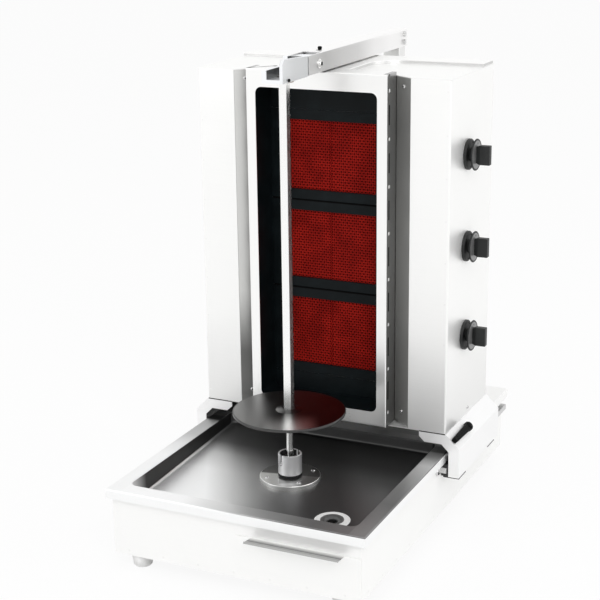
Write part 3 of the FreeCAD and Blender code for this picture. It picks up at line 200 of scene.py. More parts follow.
# Spot welds: the faint round marks that a welding gun leaves, along the lower edge of the base's
# side and front walls. The same marks run up the burner housing's front panels.
def new_tree(name, inputs):
    """An empty geometry tree with named inputs, and a wire for each input."""
    tree = bpy.data.node_groups.new(name, "GeometryNodeTree")
    tree.interface.new_socket(name="Geometry", in_out="OUTPUT", socket_type="NodeSocketGeometry")
    tree.interface.new_socket(name="Geometry", in_out="INPUT", socket_type="NodeSocketGeometry")
    for label, kind in inputs:
        tree.interface.new_socket(name=label, in_out="INPUT", socket_type="NodeSocket" + kind)
    entry = tree.nodes.new("NodeGroupInput")
    return tree, {socket.name: Wire(tree, socket) for socket in entry.outputs if socket.name}


def close_tree(shape):
    """Make a tree's instances real and send them out."""
    real = shape.add("GeometryNodeRealizeInstances", None, {0: shape})
    shape.add("NodeGroupOutput", None, {0: real})


def painted(shape, material):
    """Give a shape in a tree its finish."""
    return shape.add("GeometryNodeSetMaterial", None, {"Geometry": shape, "Material": material})


def stand_on(points, shape, turn):
    """A copy of a shape on each point, with its own turn."""
    return shape.add("GeometryNodeInstanceOnPoints", None,
                     {"Points": points, "Instance": shape, "Rotation": turn})


def outward_turn(wire):
    """The turn that points Z along the direction kept on each point."""
    outward = wire.add("GeometryNodeInputNamedAttribute", {"data_type": "FLOAT_VECTOR"},
                       {"Name": "outward"})
    return wire.add("FunctionNodeAlignRotationToVector", {"axis": "Z"}, {"Vector": outward})


def grow(name, tree, mesh, values, body, move=None):
    """Run a tree on a mesh, keep the result as a plain mesh, and let it ride on a body."""
    seed = bpy.data.objects.new(name + "_seed", mesh)
    bpy.context.scene.collection.objects.link(seed)
    modifier = seed.modifiers.new("grow", "NODES")
    modifier.node_group = tree
    for item in tree.interface.items_tree:
        if item.in_out == "INPUT" and item.name in values:
            modifier[item.identifier] = values[item.name]
    view = bpy.context.evaluated_depsgraph_get()
    done = bpy.data.meshes.new_from_object(seed.evaluated_get(view))
    bpy.data.objects.remove(seed)
    if move:
        done.transform(move)
    done.name = name
    return add_piece(name, done, body)


def add_piece(name, mesh, body, material=None):
    """Show a finished mesh, which already lies in its place."""
    if material:
        mesh.materials.append(material)
    piece = bpy.data.objects.new(name, mesh)
    bpy.context.scene.collection.objects.link(piece)
    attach(piece, body)
    return piece


def points_mesh(name, spots):
    """Loose points, each with the direction that its copy faces."""
    mesh = bpy.data.meshes.new(name)
    mesh.from_pydata([spot for spot, _ in spots], [], [])
    outward = mesh.attributes.new("outward", "FLOAT_VECTOR", "POINT")
    for item, (_, direction) in zip(outward.data, spots):
        item.vector = direction
    return mesh


def weld_tree():
    """A shallow round mark on each point, facing outward."""
    tree, given = new_tree("weld marks",
                           [("Radius", "Float"), ("Proud", "Float"), ("Metal", "Material")])
    mark = given["Radius"].add("GeometryNodeMeshCone", None, {
        "Vertices": 16, "Radius Top": given["Radius"] * 0.55, "Radius Bottom": given["Radius"],
        "Depth": given["Proud"]})
    close_tree(stand_on(given["Geometry"], painted(mark, given["Metal"]), outward_turn(mark)))
    return tree


weld_marks = weld_tree()
weld_steel = brushed("weld marks", (0.92, 0.92, 0.91), 0.45)
frontward = Vector((0, -1, 0))
base_half = 0.24
weld_above_edge = 0.009
side_weld_first, side_weld_pitch, front_weld_pitch = 0.03, 0.064, 0.07
base_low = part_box("base_shell")[0]
weld_z = base_low.z + weld_above_edge
base_welds = [
    (Vector((side * base_half, base_low.y + side_weld_first + side_weld_pitch * i, weld_z)),
     Vector((side, 0, 0)))
    for side in (-1, 1) for i in range(12)]
base_welds += [(Vector((front_weld_pitch * i, base_low.y, weld_z)), frontward)
               for i in range(-3, 4)]
grow("base_weld_marks", weld_marks, points_mesh("base welds", base_welds),
     {"Radius": 0.0022, "Proud": 0.00012, "Metal": weld_steel}, "base")


# Feet: four tapered pale plastic feet, moulded and pushed into the bottom tray.
def moulded(name, colour, rough, grain, bump, shine=0.5):
    """Moulded plastic, rubber or enamel, with a fine skin and dusty patches."""
    material, place = start(name)
    skin = place.noise((grain, grain, grain), 2.0)
    dust = place.noise((35, 35, 35), 4.0)
    finish_with(place, {
        "Base Color": dust.rise(0.35, 0.8).blend(tone(colour, 0.85), tone(colour, 1.5)),
        "Roughness": rough - 0.06 + 0.1 * dust + 0.04 * skin,
        "Specular IOR Level": shine, "Normal": skin.bump(bump, 0.0001)})
    return material


dress(moulded("foot plastic", (0.85, 0.85, 0.84), 0.55, 900, 0.3), "feet")


# Drip pan: pressed from one stainless sheet, with a folded lip and a floor that falls to the
# front. Its levels hold a painted reflection of a pale room on the left and the dark grill behind,
# and painted shade on its walls and under the brackets.
pan_wall_x, pan_rear_wall_y, pan_side_x, pan_front_y = 0.218, 0.189, 0.2495, -0.2395


def pan_level(place):
    """Painted reflection and shade on the floor, the left and rear walls and each side of the
    flange.
    """
    x, y, z = place.axes()
    level = (x + 0.5 * (y + 0.11)).ramp(
        (-0.2, 1.0), (-0.12, 0.97), (-0.06, 0.52), (0.0, 0.25), (0.04, 0.13), (0.09, 0.075),
        (0.15, 0.07), (0.2, 0.14))
    level = level * y.ramp((-0.02, 1.0), (0.05, 0.8), (0.1, 0.35), (0.19, 0.25))
    left_wall = y.ramp((-0.2, 0.9), (-0.15, 0.045), (0.19, 0.03))
    level = x.rise(0.0005 - pan_wall_x, -0.0005 - pan_wall_x).pick(level, left_wall)
    behind = y.rise(pan_rear_wall_y - 0.0005, pan_rear_wall_y + 0.0005)
    level = behind.pick(level, 0.1)
    flange = x.ramp((-0.1, 0.97), (0.0, 0.55), (0.075, 0.38), (0.15, 0.22), (0.2, 0.27))
    # The near-black runs on both side flanges are painted shade under the brackets.
    right = y.ramp((-0.22, 0.34), (-0.16, 0.245), (-0.1, 0.19), (-0.04, 0.27), (0.02, 0.38),
                   (0.08, 0.55), (0.12, 0.3), (0.146, 0.22), (0.152, 0.02), (0.175, 0.02),
                   (0.195, 0.3))
    left = y.ramp((-0.06, 0.95), (0.0, 0.8), (0.05, 0.52), (0.128, 0.36), (0.138, 0.02),
                  (0.155, 0.02), (0.175, 0.3))
    rear = x.ramp((-0.2, 0.2), (0.1, 0.12), (0.18, 0.25), (0.21, 0.42))
    flange = x.rise(pan_wall_x, pan_wall_x + 0.001).pick(flange, right)
    flange = x.rise(-pan_wall_x, -0.001 - pan_wall_x).pick(flange, left)
    flange = behind.pick(flange, rear)
    level = z.rise(0.1490, 0.1496).pick(level, flange)
    beyond_side = (x * x).rise((pan_side_x - 0.0002) ** 2, (pan_side_x + 0.0002) ** 2)
    outside = beyond_side.larger(y.rise(pan_front_y + 0.0002, pan_front_y - 0.0002))
    return outside.pick(level, 0.97)


dress(brushed("pan sheet", (0.98, 0.985, 0.985), 0.36, (700, 9, 9), pan_level, metal=0.6),
      "drip_pan")


# Drain: a spun stainless ring let into the pan's floor, bright at its rim, with painted shade in
# its dish and its hole.
drain_low, drain_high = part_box("drain_ring")
drain = (drain_low + drain_high) / 2


def drain_level(place):
    """Painted shade: black in the hole and dark in the dish, with the rim left bright."""
    x, y = place.along(0) - drain.x, place.along(1) - drain.y
    reach = (x * x + y * y).root()
    return reach.ramp((0.0085, 0.005), (0.0105, 0.08), (0.0205, 0.12), (0.0215, 1.0))


dress(brushed("drain ring", (0.94, 0.94, 0.93), 0.34, (60, 60, 700), drain_level, metal=0.1),
      "drain_ring")


# Grease drawer: a folded tray behind a flat front, whose top edge is bent out into a pull with a
# rolled hem. It runs on two folded runners.
def pull_level(place):
    """Painted shade: the pull's top falls into shade towards its hem, with a dark line at the fold.
    """
    return place.along(1).ramp((-0.2515, 0.42), (-0.2507, 0.1), (-0.2493, 0.2),
                               (-0.2360, 0.85), (-0.2345, 1.0))


def tray_level(place):
    """Old fat clouds the lower part of the tray."""
    low_down = place.along(2).rise(0.075, 0.052)
    return 1 - 0.6 * low_down * place.noise((25, 25, 25), 4.0).rise(0.3, 0.6)


dress(brushed("drawer front", (0.97, 0.97, 0.96), 0.4, level=pull_level, metal=0.5),
      "drawer_front")
dress(brushed("drawer tray", (0.6, 0.57, 0.53), 0.4, (6, 400, 400), tray_level), "drawer_box")
dress(brushed("runners", (0.5, 0.5, 0.5), 0.42, (400, 6, 6)), "drawer_runners")


# Spit drive: a cast gearbox with its motor under the pan, on a folded bracket, with a ground
# steel shaft.
def cast(name, colour, rough):
    """Sand-cast metal: grainy skin with darker pores."""
    material, place = start(name)
    skin = place.noise((420, 420, 420))
    cloud = place.noise((30, 30, 30))
    base = (0.5 * skin + 0.5 * cloud).blend(tone(colour, 0.7), tone(colour, 1.15))
    finish_with(place, {"Base Color": base, "Metallic": 1.0, "Roughness": rough + 0.15 * cloud,
                        "Normal": skin.bump(0.5, 0.0002)})
    return material


dress(cast("gearbox casting", (0.5, 0.51, 0.52), 0.42), "gear_motor")
dress(brushed("motor bracket", (0.45, 0.45, 0.45), 0.45, (6, 400, 6)), "motor_bracket")
ground_steel = brushed("ground steel", (0.68, 0.68, 0.68), 0.2, (40, 40, 1500))
dress(ground_steel, "drive_shaft", "cross_pin", "lock_stud")


# Bearing flange: a turned disc on the pan's floor with a black lip seal, held by four screws.
# The coupling's mirror image is painted dark on its front, the plate's shade is painted on the
# half behind, and the rim carries a painted highlight.
ring_lines = 9000.0


def turned_steel(name, tint, rough, level, ring=0.04):
    """Lathe-turned metal with fine rings about the spit's axis."""
    material, place = start(name)
    x, y, z = place.axes()
    reach = (x * x + y * y).root()
    rings = place.math("SINE", reach * ring_lines)
    smudge = place.noise((20, 20, 20))
    light = (0.95 + ring * rings + 0.1 * smudge) * level(x, y, z, reach)
    finish_with(place, {"Base Color": light.blend(black, tint + (1.0,)), "Metallic": 1.0,
                        "Roughness": rough - 0.02 + 0.06 * smudge,
                        "Normal": rings.bump(0.1, 0.00003)})
    return material


def forward(x, y):
    """Places across and along the line from the spit towards the camera, where the painted
    reflections lie.
    """
    return 0.9 * x + 0.434 * y, 0.434 * x - 0.9 * y


def flange_level(x, y, z, reach):
    """Painted shade behind the spit, a painted reflection of the coupling in front, and a painted
    bright rim.
    """
    across, ahead = forward(x, y)
    image = (across * across).rise(0.0209 ** 2, 0.0202 ** 2) * ahead.rise(0.0413, 0.0403)
    front = x.ramp((0.0, 0.62), (0.035, 0.3), (0.05, 0.3)) * image.pick(1.0, 0.6)
    face = (y - 0.2 * x).rise(-0.004, 0.002).pick(front, 0.13)
    return reach.rise(0.0553, 0.0559).pick(face, 1.0)


dress(turned_steel("flange disc", (0.95, 0.95, 0.93), 0.3, flange_level), "bearing_flange")
rubber_and_gap_shade = moulded("seal rubber", (0.012, 0.012, 0.013), 0.7, 900, 0.5, 0.3)
dress(rubber_and_gap_shade, "shaft_seal")
dress(ground_steel, "flange_screws")


# Coupling: a turned cup with two J slots. The spit's cross pin drops in and locks with a turn.
def cup_level(place):
    """Painted shade: the cup is near black inside."""
    x, y = place.along(0), place.along(1)
    return (x * x + y * y).rise(0.0183 ** 2, 0.0187 ** 2).pick(0.04, 1.0)


dress(brushed("coupling", (0.84, 0.84, 0.85), 0.48, (60, 60, 1200), cup_level),
      "bayonet_coupling")


# Spit: a drawn square bar with a turned foot, and the round meat plate that a knurled screw
# clamps to it. The plate is spun, so its fine lines are rings.
def plate_level(x, y, z, reach):
    """A painted highlight streak runs forward from the bar, and the rim's top edge is painted
    bright.
    """
    across, ahead = forward(x, y)
    off_streak = across - 0.002
    streak = 0.75 * (off_streak * off_streak).rise(0.055 ** 2, 0.0) * ahead.rise(0.02, 0.09)
    # The face darkens to the right as a painted reflection of the burners, and the rim's outer wall
    # below its top edge is painted dark as shade.
    face = x.ramp((-0.1, 0.18), (-0.02, 0.12), (0.04, 0.06), (0.1, 0.03)) + streak
    return reach.rise(0.1008, 0.1016).pick(face, z.rise(0.2546, 0.2554).pick(0.08, 0.95))


dress(brushed("spit bar", (0.97, 0.97, 0.96), 0.27, (500, 500, 6)), "spit_rod")
dress(turned_steel("meat plate", (0.97, 0.97, 0.96), 0.3, plate_level), "spit_plate")
dress(ground_steel, "plate_screw")


def knurl_tree():
    """Ribs round a barrel that stands on the origin, along Z."""
    rib_proud, rib_width = 0.0007, 0.0008
    tree, given = new_tree("knurl", [("Ribs", "Int"), ("Radius", "Float"), ("Length", "Float"),
                                     ("Metal", "Material")])
    circle = given["Ribs"].add("GeometryNodeMeshCircle", None,
                               {"Vertices": given["Ribs"], "Radius": given["Radius"]})
    place = circle.add("GeometryNodeInputPosition")
    turn = circle.add("FunctionNodeAlignRotationToVector", {"axis": "X"}, {"Vector": place})
    size = circle.add("ShaderNodeCombineXYZ", None,
                      {0: rib_proud, 1: rib_width, 2: given["Length"]})
    rib = circle.add("GeometryNodeMeshCube", None, {"Size": size})
    close_tree(stand_on(circle, painted(rib, given["Metal"]), turn))
    return tree


knurl = knurl_tree()
empty_mesh = bpy.data.meshes.new("nothing")
screw_low, screw_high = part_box("plate_screw")
middle_before_end = 0.0045
screw_knob_middle = Vector((screw_high.x - middle_before_end, 0,
                            (screw_low.z + screw_high.z) / 2))
grow("plate_screw_knurl", knurl, empty_mesh,
     {"Ribs": 30, "Radius": 0.0069, "Length": 0.007, "Metal": ground_steel}, "spit",
     Matrix.Translation(screw_knob_middle) @ Matrix.Rotation(math.pi / 2, 4, "Y"))


# Rails and carriage brackets: rectangular steel rails on the base's sides, black nylon shoes
# that wrap them, and folded brackets that carry the burner housing.
dress(brushed("rails", (0.62, 0.62, 0.62), 0.3, (400, 6, 6)), "slide_rail_right",
      "slide_rail_left")
dress(moulded("shoe nylon", (0.02, 0.02, 0.021), 0.5, 500, 0.3), "glide_shoes")


def bracket_level(place):
    """Painted shade: each bracket's inner faces, inside its folds and behind the front rim, are
    near black.
    """
    x, y, z = place.axes()
    wide = x.size()
    leg = wide.rise(0.2764, 0.2758)
    slope = (wide + z).rise(0.4386, 0.4378)
    inside = leg * slope * z.rise(0.1884, 0.1878) * y.rise(0.1498, 0.1502)
    return inside.pick(1.0, 0.015)


dress(brushed("brackets", (0.95, 0.95, 0.95), 0.42, level=bracket_level, metal=0.4),
      "skirt_right", "skirt_left")


# Lock lever: a black moulded clamp lever on a steel stud, which holds the carriage in its place.
black_grip = moulded("black grip", (0.005, 0.006, 0.006), 0.5, 1400, 0.25, 0.06)
dress(black_grip, "lock_lever")


# Top arm: a post on a bolted foot and a folded channel that reaches over the housing.
def arm_level(place):
    """Painted shade: the channel's sides darken towards the spit, and its top stays pale."""
    y, z = place.along(1), place.along(2)
    side = y.ramp((0.06, 0.6), (0.13, 0.5), (0.2, 0.6), (0.28, 0.68), (0.36, 0.9), (0.44, 1.0))
    return z.rise(0.8878, 0.8886).pick(side, 1.0)


dress(brushed("arm", (0.95, 0.945, 0.94), 0.38, (6, 400, 400), arm_level), "arm_channel")
dress(brushed("post", (0.86, 0.86, 0.85), 0.36, (400, 400, 6)), "arm_post")
dress(ground_steel, "base_screws")


# Head: a machined fork hinged on a bolt at the arm's front, with a bronze bush for the spit. The
# bolt has a hexagon socket, a black cap screw closes the head, and a small black knob pulls the
# latch.
def head_level(place):
    """Painted shade: the right cheek is a little darker, and the fork is dark between its cheeks.
    """
    x, y, z = place.axes()
    cheek = y.ramp((-0.045, 0.82), (0.0, 0.7), (0.05, 0.66))
    between = x.rise(-0.0112, -0.0106) * x.rise(0.0140, 0.0134)
    hollow = between * z.rise(0.8596, 0.8606) * y.rise(0.047, 0.0463)
    return hollow.pick(x.rise(0.0185, 0.0195).pick(0.97, cheek), 0.25)


dress(brushed("head", (0.95, 0.965, 0.98), 0.4, (40, 40, 300), head_level), "spit_head")
dress(brushed("bush bronze", (0.46, 0.42, 0.36), 0.3, (60, 60, 900)), "head_bush")
dress(black_grip, "head_screw", "head_latch")
dress(brushed("bolt", (0.85, 0.85, 0.84), 0.25), "pivot_bolt")
dress(brushed("latch guide", (0.5, 0.5, 0.5), 0.4), "latch_guide")


def slab(name, low, high, bevel):
    """A block between two corners, with its edges softened."""
    mesh = bpy.data.meshes.new(name)
    form = bmesh.new()
    low, high = Vector(low), Vector(high)
    place = Matrix.Translation((low + high) / 2) @ Matrix.Diagonal((high - low).to_4d())
    bmesh.ops.create_cube(form, size=1.0)
    bmesh.ops.transform(form, verts=form.verts, matrix=place)
    bmesh.ops.bevel(form, geom=form.edges[:], offset=bevel, segments=2, profile=0.5,
                    affect="EDGES")
    form.to_mesh(mesh)
    form.free()
    return mesh


def washer(name, inner, outer, thick, facets):
    """A flat ring about X with its foot at X = 0 and a softened outer edge."""
    mesh = bpy.data.meshes.new(name)
    form = bmesh.new()
    edge = thick * 0.4
    profile = ((inner, 0), (outer, 0), (outer, thick - edge), (outer - edge, thick),
               (inner, thick))
    loops = []
    for radius, x in profile:
        turns = [math.tau * i / facets for i in range(facets)]
        loops.append([form.verts.new((x, radius * math.sin(a), radius * math.cos(a)))
                      for a in turns])
    for a, b in zip(loops, loops[1:] + loops[:1]):
        for i in range(facets):
            j = (i + 1) % facets
            form.faces.new((a[i], a[j], b[j], b[i]))
    bmesh.ops.recalc_face_normals(form, faces=form.faces)
    form.to_mesh(mesh)
    form.free()
    return mesh


# Painted shade: a near-black matt finish for the flat dark marks that stand in for the shade in
# sockets, screw recesses, gaps and creases.
recess_shade, place = start("screw recess")
shade_tone = place.noise((800, 800, 800)).blend((0.002, 0.002, 0.002, 1), (0.008, 0.008, 0.008, 1))
finish_with(place, {"Base Color": shade_tone, "Roughness": 0.7, "Specular IOR Level": 0.0})
pin_hole = 0.0001
socket_radius, socket_depth, hexagon = 0.0041, 0.0002, 6
bolt_low, bolt_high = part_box("pivot_bolt")
bolt_middle = (bolt_low + bolt_high) / 2
# The bolt's hexagon socket is a flat black hexagon on its end face: painted shade in place of the
# recess.
socket_hole = washer("bolt socket", pin_hole, socket_radius, socket_depth, hexagon)
socket_hole.transform(Matrix.Translation((bolt_high.x - socket_depth / 2, bolt_middle.y,
                                          bolt_middle.z)))
add_piece("bolt_socket", socket_hole, "base", recess_shade)
latch_knob_y, latch_knurl = 0.149, 0.0026
latch_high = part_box("head_latch")[1]
grow("latch_knob_knurl", knurl, empty_mesh,
     {"Ribs": 18, "Radius": 0.0036, "Length": latch_knurl, "Metal": black_grip}, "latch",
     Matrix.Translation((0, latch_knob_y, latch_high.z - latch_knurl)))


# Burner housing: casing, top cover and rear cover in brushed stainless sheet, screwed together
# with small cross-head screws, and a thin black strip of painted shade under its front edge.
def casing_level(place):
    """Painted shade: the casing is a little darker low down, over the base."""
    return place.along(2).ramp((0.19, 0.86), (0.38, 1.0))


def lid_level(place):
    """The wall of the lid's raised part is shaded."""
    z = place.along(2)
    return (z.rise(0.8467, 0.8471) * z.rise(0.8520, 0.8513)).pick(1.0, 0.7)


dress(brushed("casing", (0.97, 0.97, 0.96), 0.38, level=casing_level, metal=0.6),
      "housing_casing")
dress(brushed("lid", (0.96, 0.96, 0.95), 0.38, (6, 400, 6), lid_level), "housing_lid")
dress(brushed("rear cover", (0.78, 0.78, 0.77), 0.38), "rear_cover")
dress(ground_steel, "housing_screws")


def heads(name):
    """Centre of each screw's outer face in a node of screws, and the way it faces."""
    form = bmesh.new()
    form.from_mesh(nodes[name].data)
    bmesh.ops.remove_doubles(form, verts=form.verts, dist=1e-6)
    left = set(form.verts)
    found = []
    while left:
        island, edge = set(), [left.pop()]
        while edge:
            vert = edge.pop()
            island.add(vert)
            for link in vert.link_edges:
                other = link.other_vert(vert)
                if other in left:
                    left.discard(other)
                    edge.append(other)
        areas = {}
        for face in {f for v in island for f in v.link_faces}:
            key = tuple(round(c, 2) for c in face.normal)
            areas[key] = areas.get(key, 0.0) + face.calc_area()
        foot = Vector(max(areas, key=areas.get))
        outward = -foot.normalized()
        middle = sum((v.co for v in island), Vector()) / len(island)
        reach = max((v.co - middle).dot(outward) for v in island)
        found.append((middle + outward * reach, outward))
    form.free()
    return found


def recess_tree():
    """A thin dark cross on each screw, lying in its outer face: painted shade of its cross recess.
    """
    tree, given = new_tree("cross recess", [("Length", "Float"), ("Width", "Float"),
                                            ("Deep", "Float"), ("Dark", "Material")])
    length, width, deep = given["Length"], given["Width"], given["Deep"]
    bars = []
    for x, y in ((length, width), (width, length)):
        size = length.add("ShaderNodeCombineXYZ", None, {0: x, 1: y, 2: deep})
        bars.append(length.add("GeometryNodeMeshCube", None, {"Size": size}))
    cross = length.add("GeometryNodeJoinGeometry", None, {0: bars})
    close_tree(stand_on(given["Geometry"], painted(cross, given["Dark"]), outward_turn(cross)))
    return tree


cross_recess = recess_tree()
for name, body, across in (("housing_screws", "carriage", 0.0040),
                           ("flange_screws", "base", 0.0042)):
    grow(name + "_recess", cross_recess, points_mesh(name, heads(name)),
         {"Length": across, "Width": 0.0011, "Deep": 0.0001, "Dark": recess_shade}, body)

panel_weld_x, panel_weld_first, panel_weld_pitch = 0.244, 0.02, 0.077
casing_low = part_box("housing_casing")[0]
panel_welds = [
    (Vector((side * panel_weld_x, casing_low.y,
             casing_low.z + panel_weld_first + panel_weld_pitch * i)), frontward)
    for side in (-1, 1) for i in range(9)]
grow("panel_weld_marks", weld_marks, points_mesh("panel welds", panel_welds),
     {"Radius": 0.0016, "Proud": 0.00006, "Metal": weld_steel}, "carriage")

# Painted shade: a thin black strip under the casing's front edge over each bracket stands for the
# shadowed gap there, in the same black finish as the shaft seal.
gap_shade_inner, gap_shade_outer, gap_shade_edge = 0.1975, 0.2495, 0.0003
gap_shade_proud, gap_shade_behind, gap_shade_below, gap_shade_above = 0.0006, 0.0004, 0.0012, 0.0006
for side, label in ((-1, "left"), (1, "right")):
    low_x, high_x = sorted((side * gap_shade_inner, side * gap_shade_outer))
    bead = slab("bead", (low_x, casing_low.y - gap_shade_proud, casing_low.z - gap_shade_below),
                (high_x, casing_low.y + gap_shade_behind, casing_low.z + gap_shade_above), gap_shade_edge)
    add_piece("seal_bead_" + label, bead, "carriage", rubber_and_gap_shade)


# Burner frame and wings: the polished surround of the burners, with a row of square holes and
# slots in each folded side, and two sloping reflectors beside it.
hole_y, hole_first_z, hole_pitch, hole_count = 0.1375, 0.2205, 0.0862, 8
slot_first_z = 0.2636


def frame_level(place):
    """Painted shade: shaded folded sides, with painted dark bands over the slots and black inner
    faces.
    """
    x, y, z = place.axes()
    wide = x.size()
    side = z.ramp((0.23, 0.36), (0.33, 0.38), (0.43, 0.41), (0.53, 0.44), (0.63, 0.39),
                  (0.73, 0.42), (0.82, 0.43))
    from_slot = ((z - slot_first_z) * (1 / hole_pitch) + 0.5).fraction() - 0.5
    slot = from_slot.size().rise(0.212, 0.205) * (y - hole_y).size().rise(0.0028, 0.0022)
    side = slot.pick(side, 0.04)
    inside = wide.rise(0.1380, 0.1376) * z.rise(0.8455, 0.8450)
    side = inside.pick(side, 0.03)
    return (wide.rise(0.1300, 0.1310) * y.rise(0.1275, 0.1285)).pick(1.0, side)


dress(brushed("frame steel", (0.97, 0.97, 0.96), 0.3, level=frame_level, spread=0.02),
      "burner_frame")

# Painted light: pale squares set in the square holes of the folded sides stand for the light that
# shows through them.
glint_x, glint_size = 0.1378, (0.0026, 0.0056, 0.0056, 1)
glint_mesh = bpy.data.meshes.new("frame hole glints")
form = bmesh.new()
for side in (-1, 1):
    for i in range(hole_count):
        middle = Vector((side * glint_x, hole_y, hole_first_z + hole_pitch * i))
        bmesh.ops.create_cube(form, size=1.0,
                              matrix=Matrix.Translation(middle) @ Matrix.Diagonal(glint_size))
form.to_mesh(glint_mesh)
form.free()
add_piece("frame_hole_glints", glint_mesh, "carriage",
          brushed("hole glints", (0.97, 0.97, 0.96), 0.4, metal=0.1))


def wing_level(place):
    """Painted shade: the right wing lies in shade, and the left one darkens downwards and to the
    frame.
    """
    x, z = place.along(0), place.along(2)
    right = z.ramp((0.22, 0.46), (0.3, 0.46), (0.4, 0.54), (0.64, 0.56), (0.76, 0.46),
                   (0.82, 0.52))
    left = z.ramp((0.3, 0.4), (0.42, 1.0)) * x.ramp((-0.187, 0.8), (-0.15, 0.58))
    return x.rise(-0.1, 0.1).pick(left, right)


dress(brushed("wing steel", (0.97, 0.97, 0.95), 0.36, level=wing_level), "wing_right",
      "wing_left")

# Painted shade: a thin black slab at the frame's left top corner stands for the dark gap between
# its folded edges.
gap_low, gap_high = 0.8528, 0.85335
gap_outline = [(-0.138, 0.1275), (-0.1, 0.1715), (-0.072, 0.1715), (-0.079, 0.166),
               (-0.104, 0.166)]
gap_faces = [(0, 1, 2, 3, 4), (9, 8, 7, 6, 5)]
gap_faces += [(i, 5 + i, 5 + (i + 1) % 5, (i + 1) % 5) for i in range(5)]
corner_gap = bpy.data.meshes.new("corner gap")
corner_gap.from_pydata([(x, y, z) for z in (gap_low, gap_high) for x, y in gap_outline], [],
                       gap_faces)
form = bmesh.new()
form.from_mesh(corner_gap)
bmesh.ops.recalc_face_normals(form, faces=form.faces)
form.to_mesh(corner_gap)
form.free()
add_piece("frame_corner_gap", corner_gap, "carriage", recess_shade)


# Burner lining and burner bodies: pressed steel in black vitreous enamel, a little blue. A thin
# black strip along the joint between one burner and the next is painted shade of the crease there.
enamel = moulded("black enamel", (0.004, 0.0065, 0.0075), 0.4, 160, 0.15, 0.12)
dress(enamel, "burner_lining", "burner_body_1", "burner_body_2", "burner_body_3")
strip_half_length, strip_half_height, strip_front, strip_rear, strip_edge = (
    0.119, 0.0014, 0.1892, 0.1912, 0.0006)
for number, height in ((1, 0.429), (2, 0.601)):
    crease_shade = slab("joint rope", (-strip_half_length, strip_front, height - strip_half_height),
                (strip_half_length, strip_rear, height + strip_half_height), strip_edge)
    add_piece("joint_rope_" + str(number), crease_shade, "carriage", recess_shade)


# Ceramic plaques: cast infrared ceramic, two to a burner. Burning gas leaves it through
# staggered rows of holes, each with a slightly raised lip. The deep red has a faint painted glow,
# with a painted highlight on the lips and painted shade in the holes.
def glow(name, deep, bright, strength):
    """Ceramic with an uneven painted glow of its own colour, in soft clouds and fine grit."""
    material, place = start(name)
    cloud = place.noise((28, 28, 28))
    grit = place.noise((700, 700, 700), 2.0)
    colour = (0.75 * cloud + 0.25 * grit).rise(0.25, 0.75).blend(deep, bright)
    finish_with(place, {"Base Color": colour, "Roughness": 0.8, "Specular IOR Level": 0.05,
                        "Emission Color": colour, "Emission Strength": strength,
                        "Normal": grit.bump(0.5, 0.0002)})
    return material


# Painted light: each ceramic finish also emits its own colour faintly, and the lighter lips stand
# as a painted highlight.
ceramic = glow("ceramic with painted glow", (0.055, 0.0004, 0.0003, 1), (0.09, 0.0015, 0.001, 1), 0.3)
lip_ceramic = glow("hole lips", (0.24, 0.009, 0.006, 1), (0.42, 0.018, 0.011, 1), 0.3)
hole_shade = glow("hole shade", (0.006, 0.0001, 0.0001, 1), (0.02, 0.0005, 0.0003, 1), 0.2)
dress(ceramic, "ceramic_plaques_1", "ceramic_plaques_2", "ceramic_plaques_3")


def perforation_tree():
    """Two shifted grids of holes on one plaque, each hole a low lip with a middle of painted shade.
    """
    lip_depth, dark_depth, dark_share, facets = 0.0003, 0.0004, 0.92, 8
    tree, given = new_tree("perforations", [
        ("Across", "Float"), ("Up", "Float"), ("Columns", "Int"), ("Rows", "Int"),
        ("Hole", "Float"), ("Lip", "Float"), ("Ceramic", "Material"), ("Dark", "Material")])
    one = given["Across"]
    wide = one * (given["Columns"] - 1)
    tall = given["Up"] * 2.0 * (given["Rows"] - 1)
    grids = []
    for shift in (-0.25, 0.25):
        grid = one.add("GeometryNodeMeshGrid", None, {
            "Size X": wide, "Size Y": tall, "Vertices X": given["Columns"],
            "Vertices Y": given["Rows"]})
        away = one.add("ShaderNodeCombineXYZ", None,
                       {0: one * shift, 1: given["Up"] * (2 * shift)})
        grids.append(one.add("GeometryNodeSetPosition", None, {"Geometry": grid,
                                                              "Offset": away}))
    spots = one.add("GeometryNodeJoinGeometry", None, {0: grids})
    lip = one.add("GeometryNodeMeshCone", None, {
        "Vertices": facets, "Radius Top": given["Hole"], "Radius Bottom": given["Lip"],
        "Depth": lip_depth})
    dark = one.add("GeometryNodeMeshCylinder", None, {
        "Vertices": facets, "Radius": given["Hole"] * dark_share, "Depth": dark_depth})
    raised = one.add("GeometryNodeSetPosition", None, {"Geometry": dark,
                                                       "Offset": (0, 0, lip_depth / 2)})
    hole = one.add("GeometryNodeJoinGeometry", None, {
        0: [painted(lip, given["Ceramic"]), painted(raised, given["Dark"])]})
    close_tree(one.add("GeometryNodeInstanceOnPoints", None, {"Points": spots,
                                                              "Instance": hole}))
    return tree


perforations = perforation_tree()
pattern = {"Across": 0.0075, "Up": 0.00504, "Columns": 12, "Rows": 13, "Hole": 0.0023,
           "Lip": 0.00305, "Ceramic": lip_ceramic, "Dark": hole_shade}
for number in (1, 2, 3):
    low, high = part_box("ceramic_plaques_" + str(number))
    for side, label in ((-1, "left"), (1, "right")):
        centre = Vector((side * high.x / 2, low.y, (low.z + high.z) / 2))
        grow("perforations_" + str(number) + "_" + label, perforations, empty_mesh, pattern,
             "carriage",
             Matrix.Translation(centre) @ Matrix.Rotation(math.pi / 2, 4, "X"))


# Gas train: a steel pipe from the rear connection, and a brass valve with its injector for each
# burner.
dress(brushed("gas pipe", (0.88, 0.88, 0.87), 0.38, (60, 60, 500)), "gas_manifold")
dress(cast("valve brass", (0.6, 0.42, 0.16), 0.28), "gas_valve_1", "gas_valve_2", "gas_valve_3")
dress(ground_steel, "valve_stem_1", "valve_stem_2", "valve_stem_3")


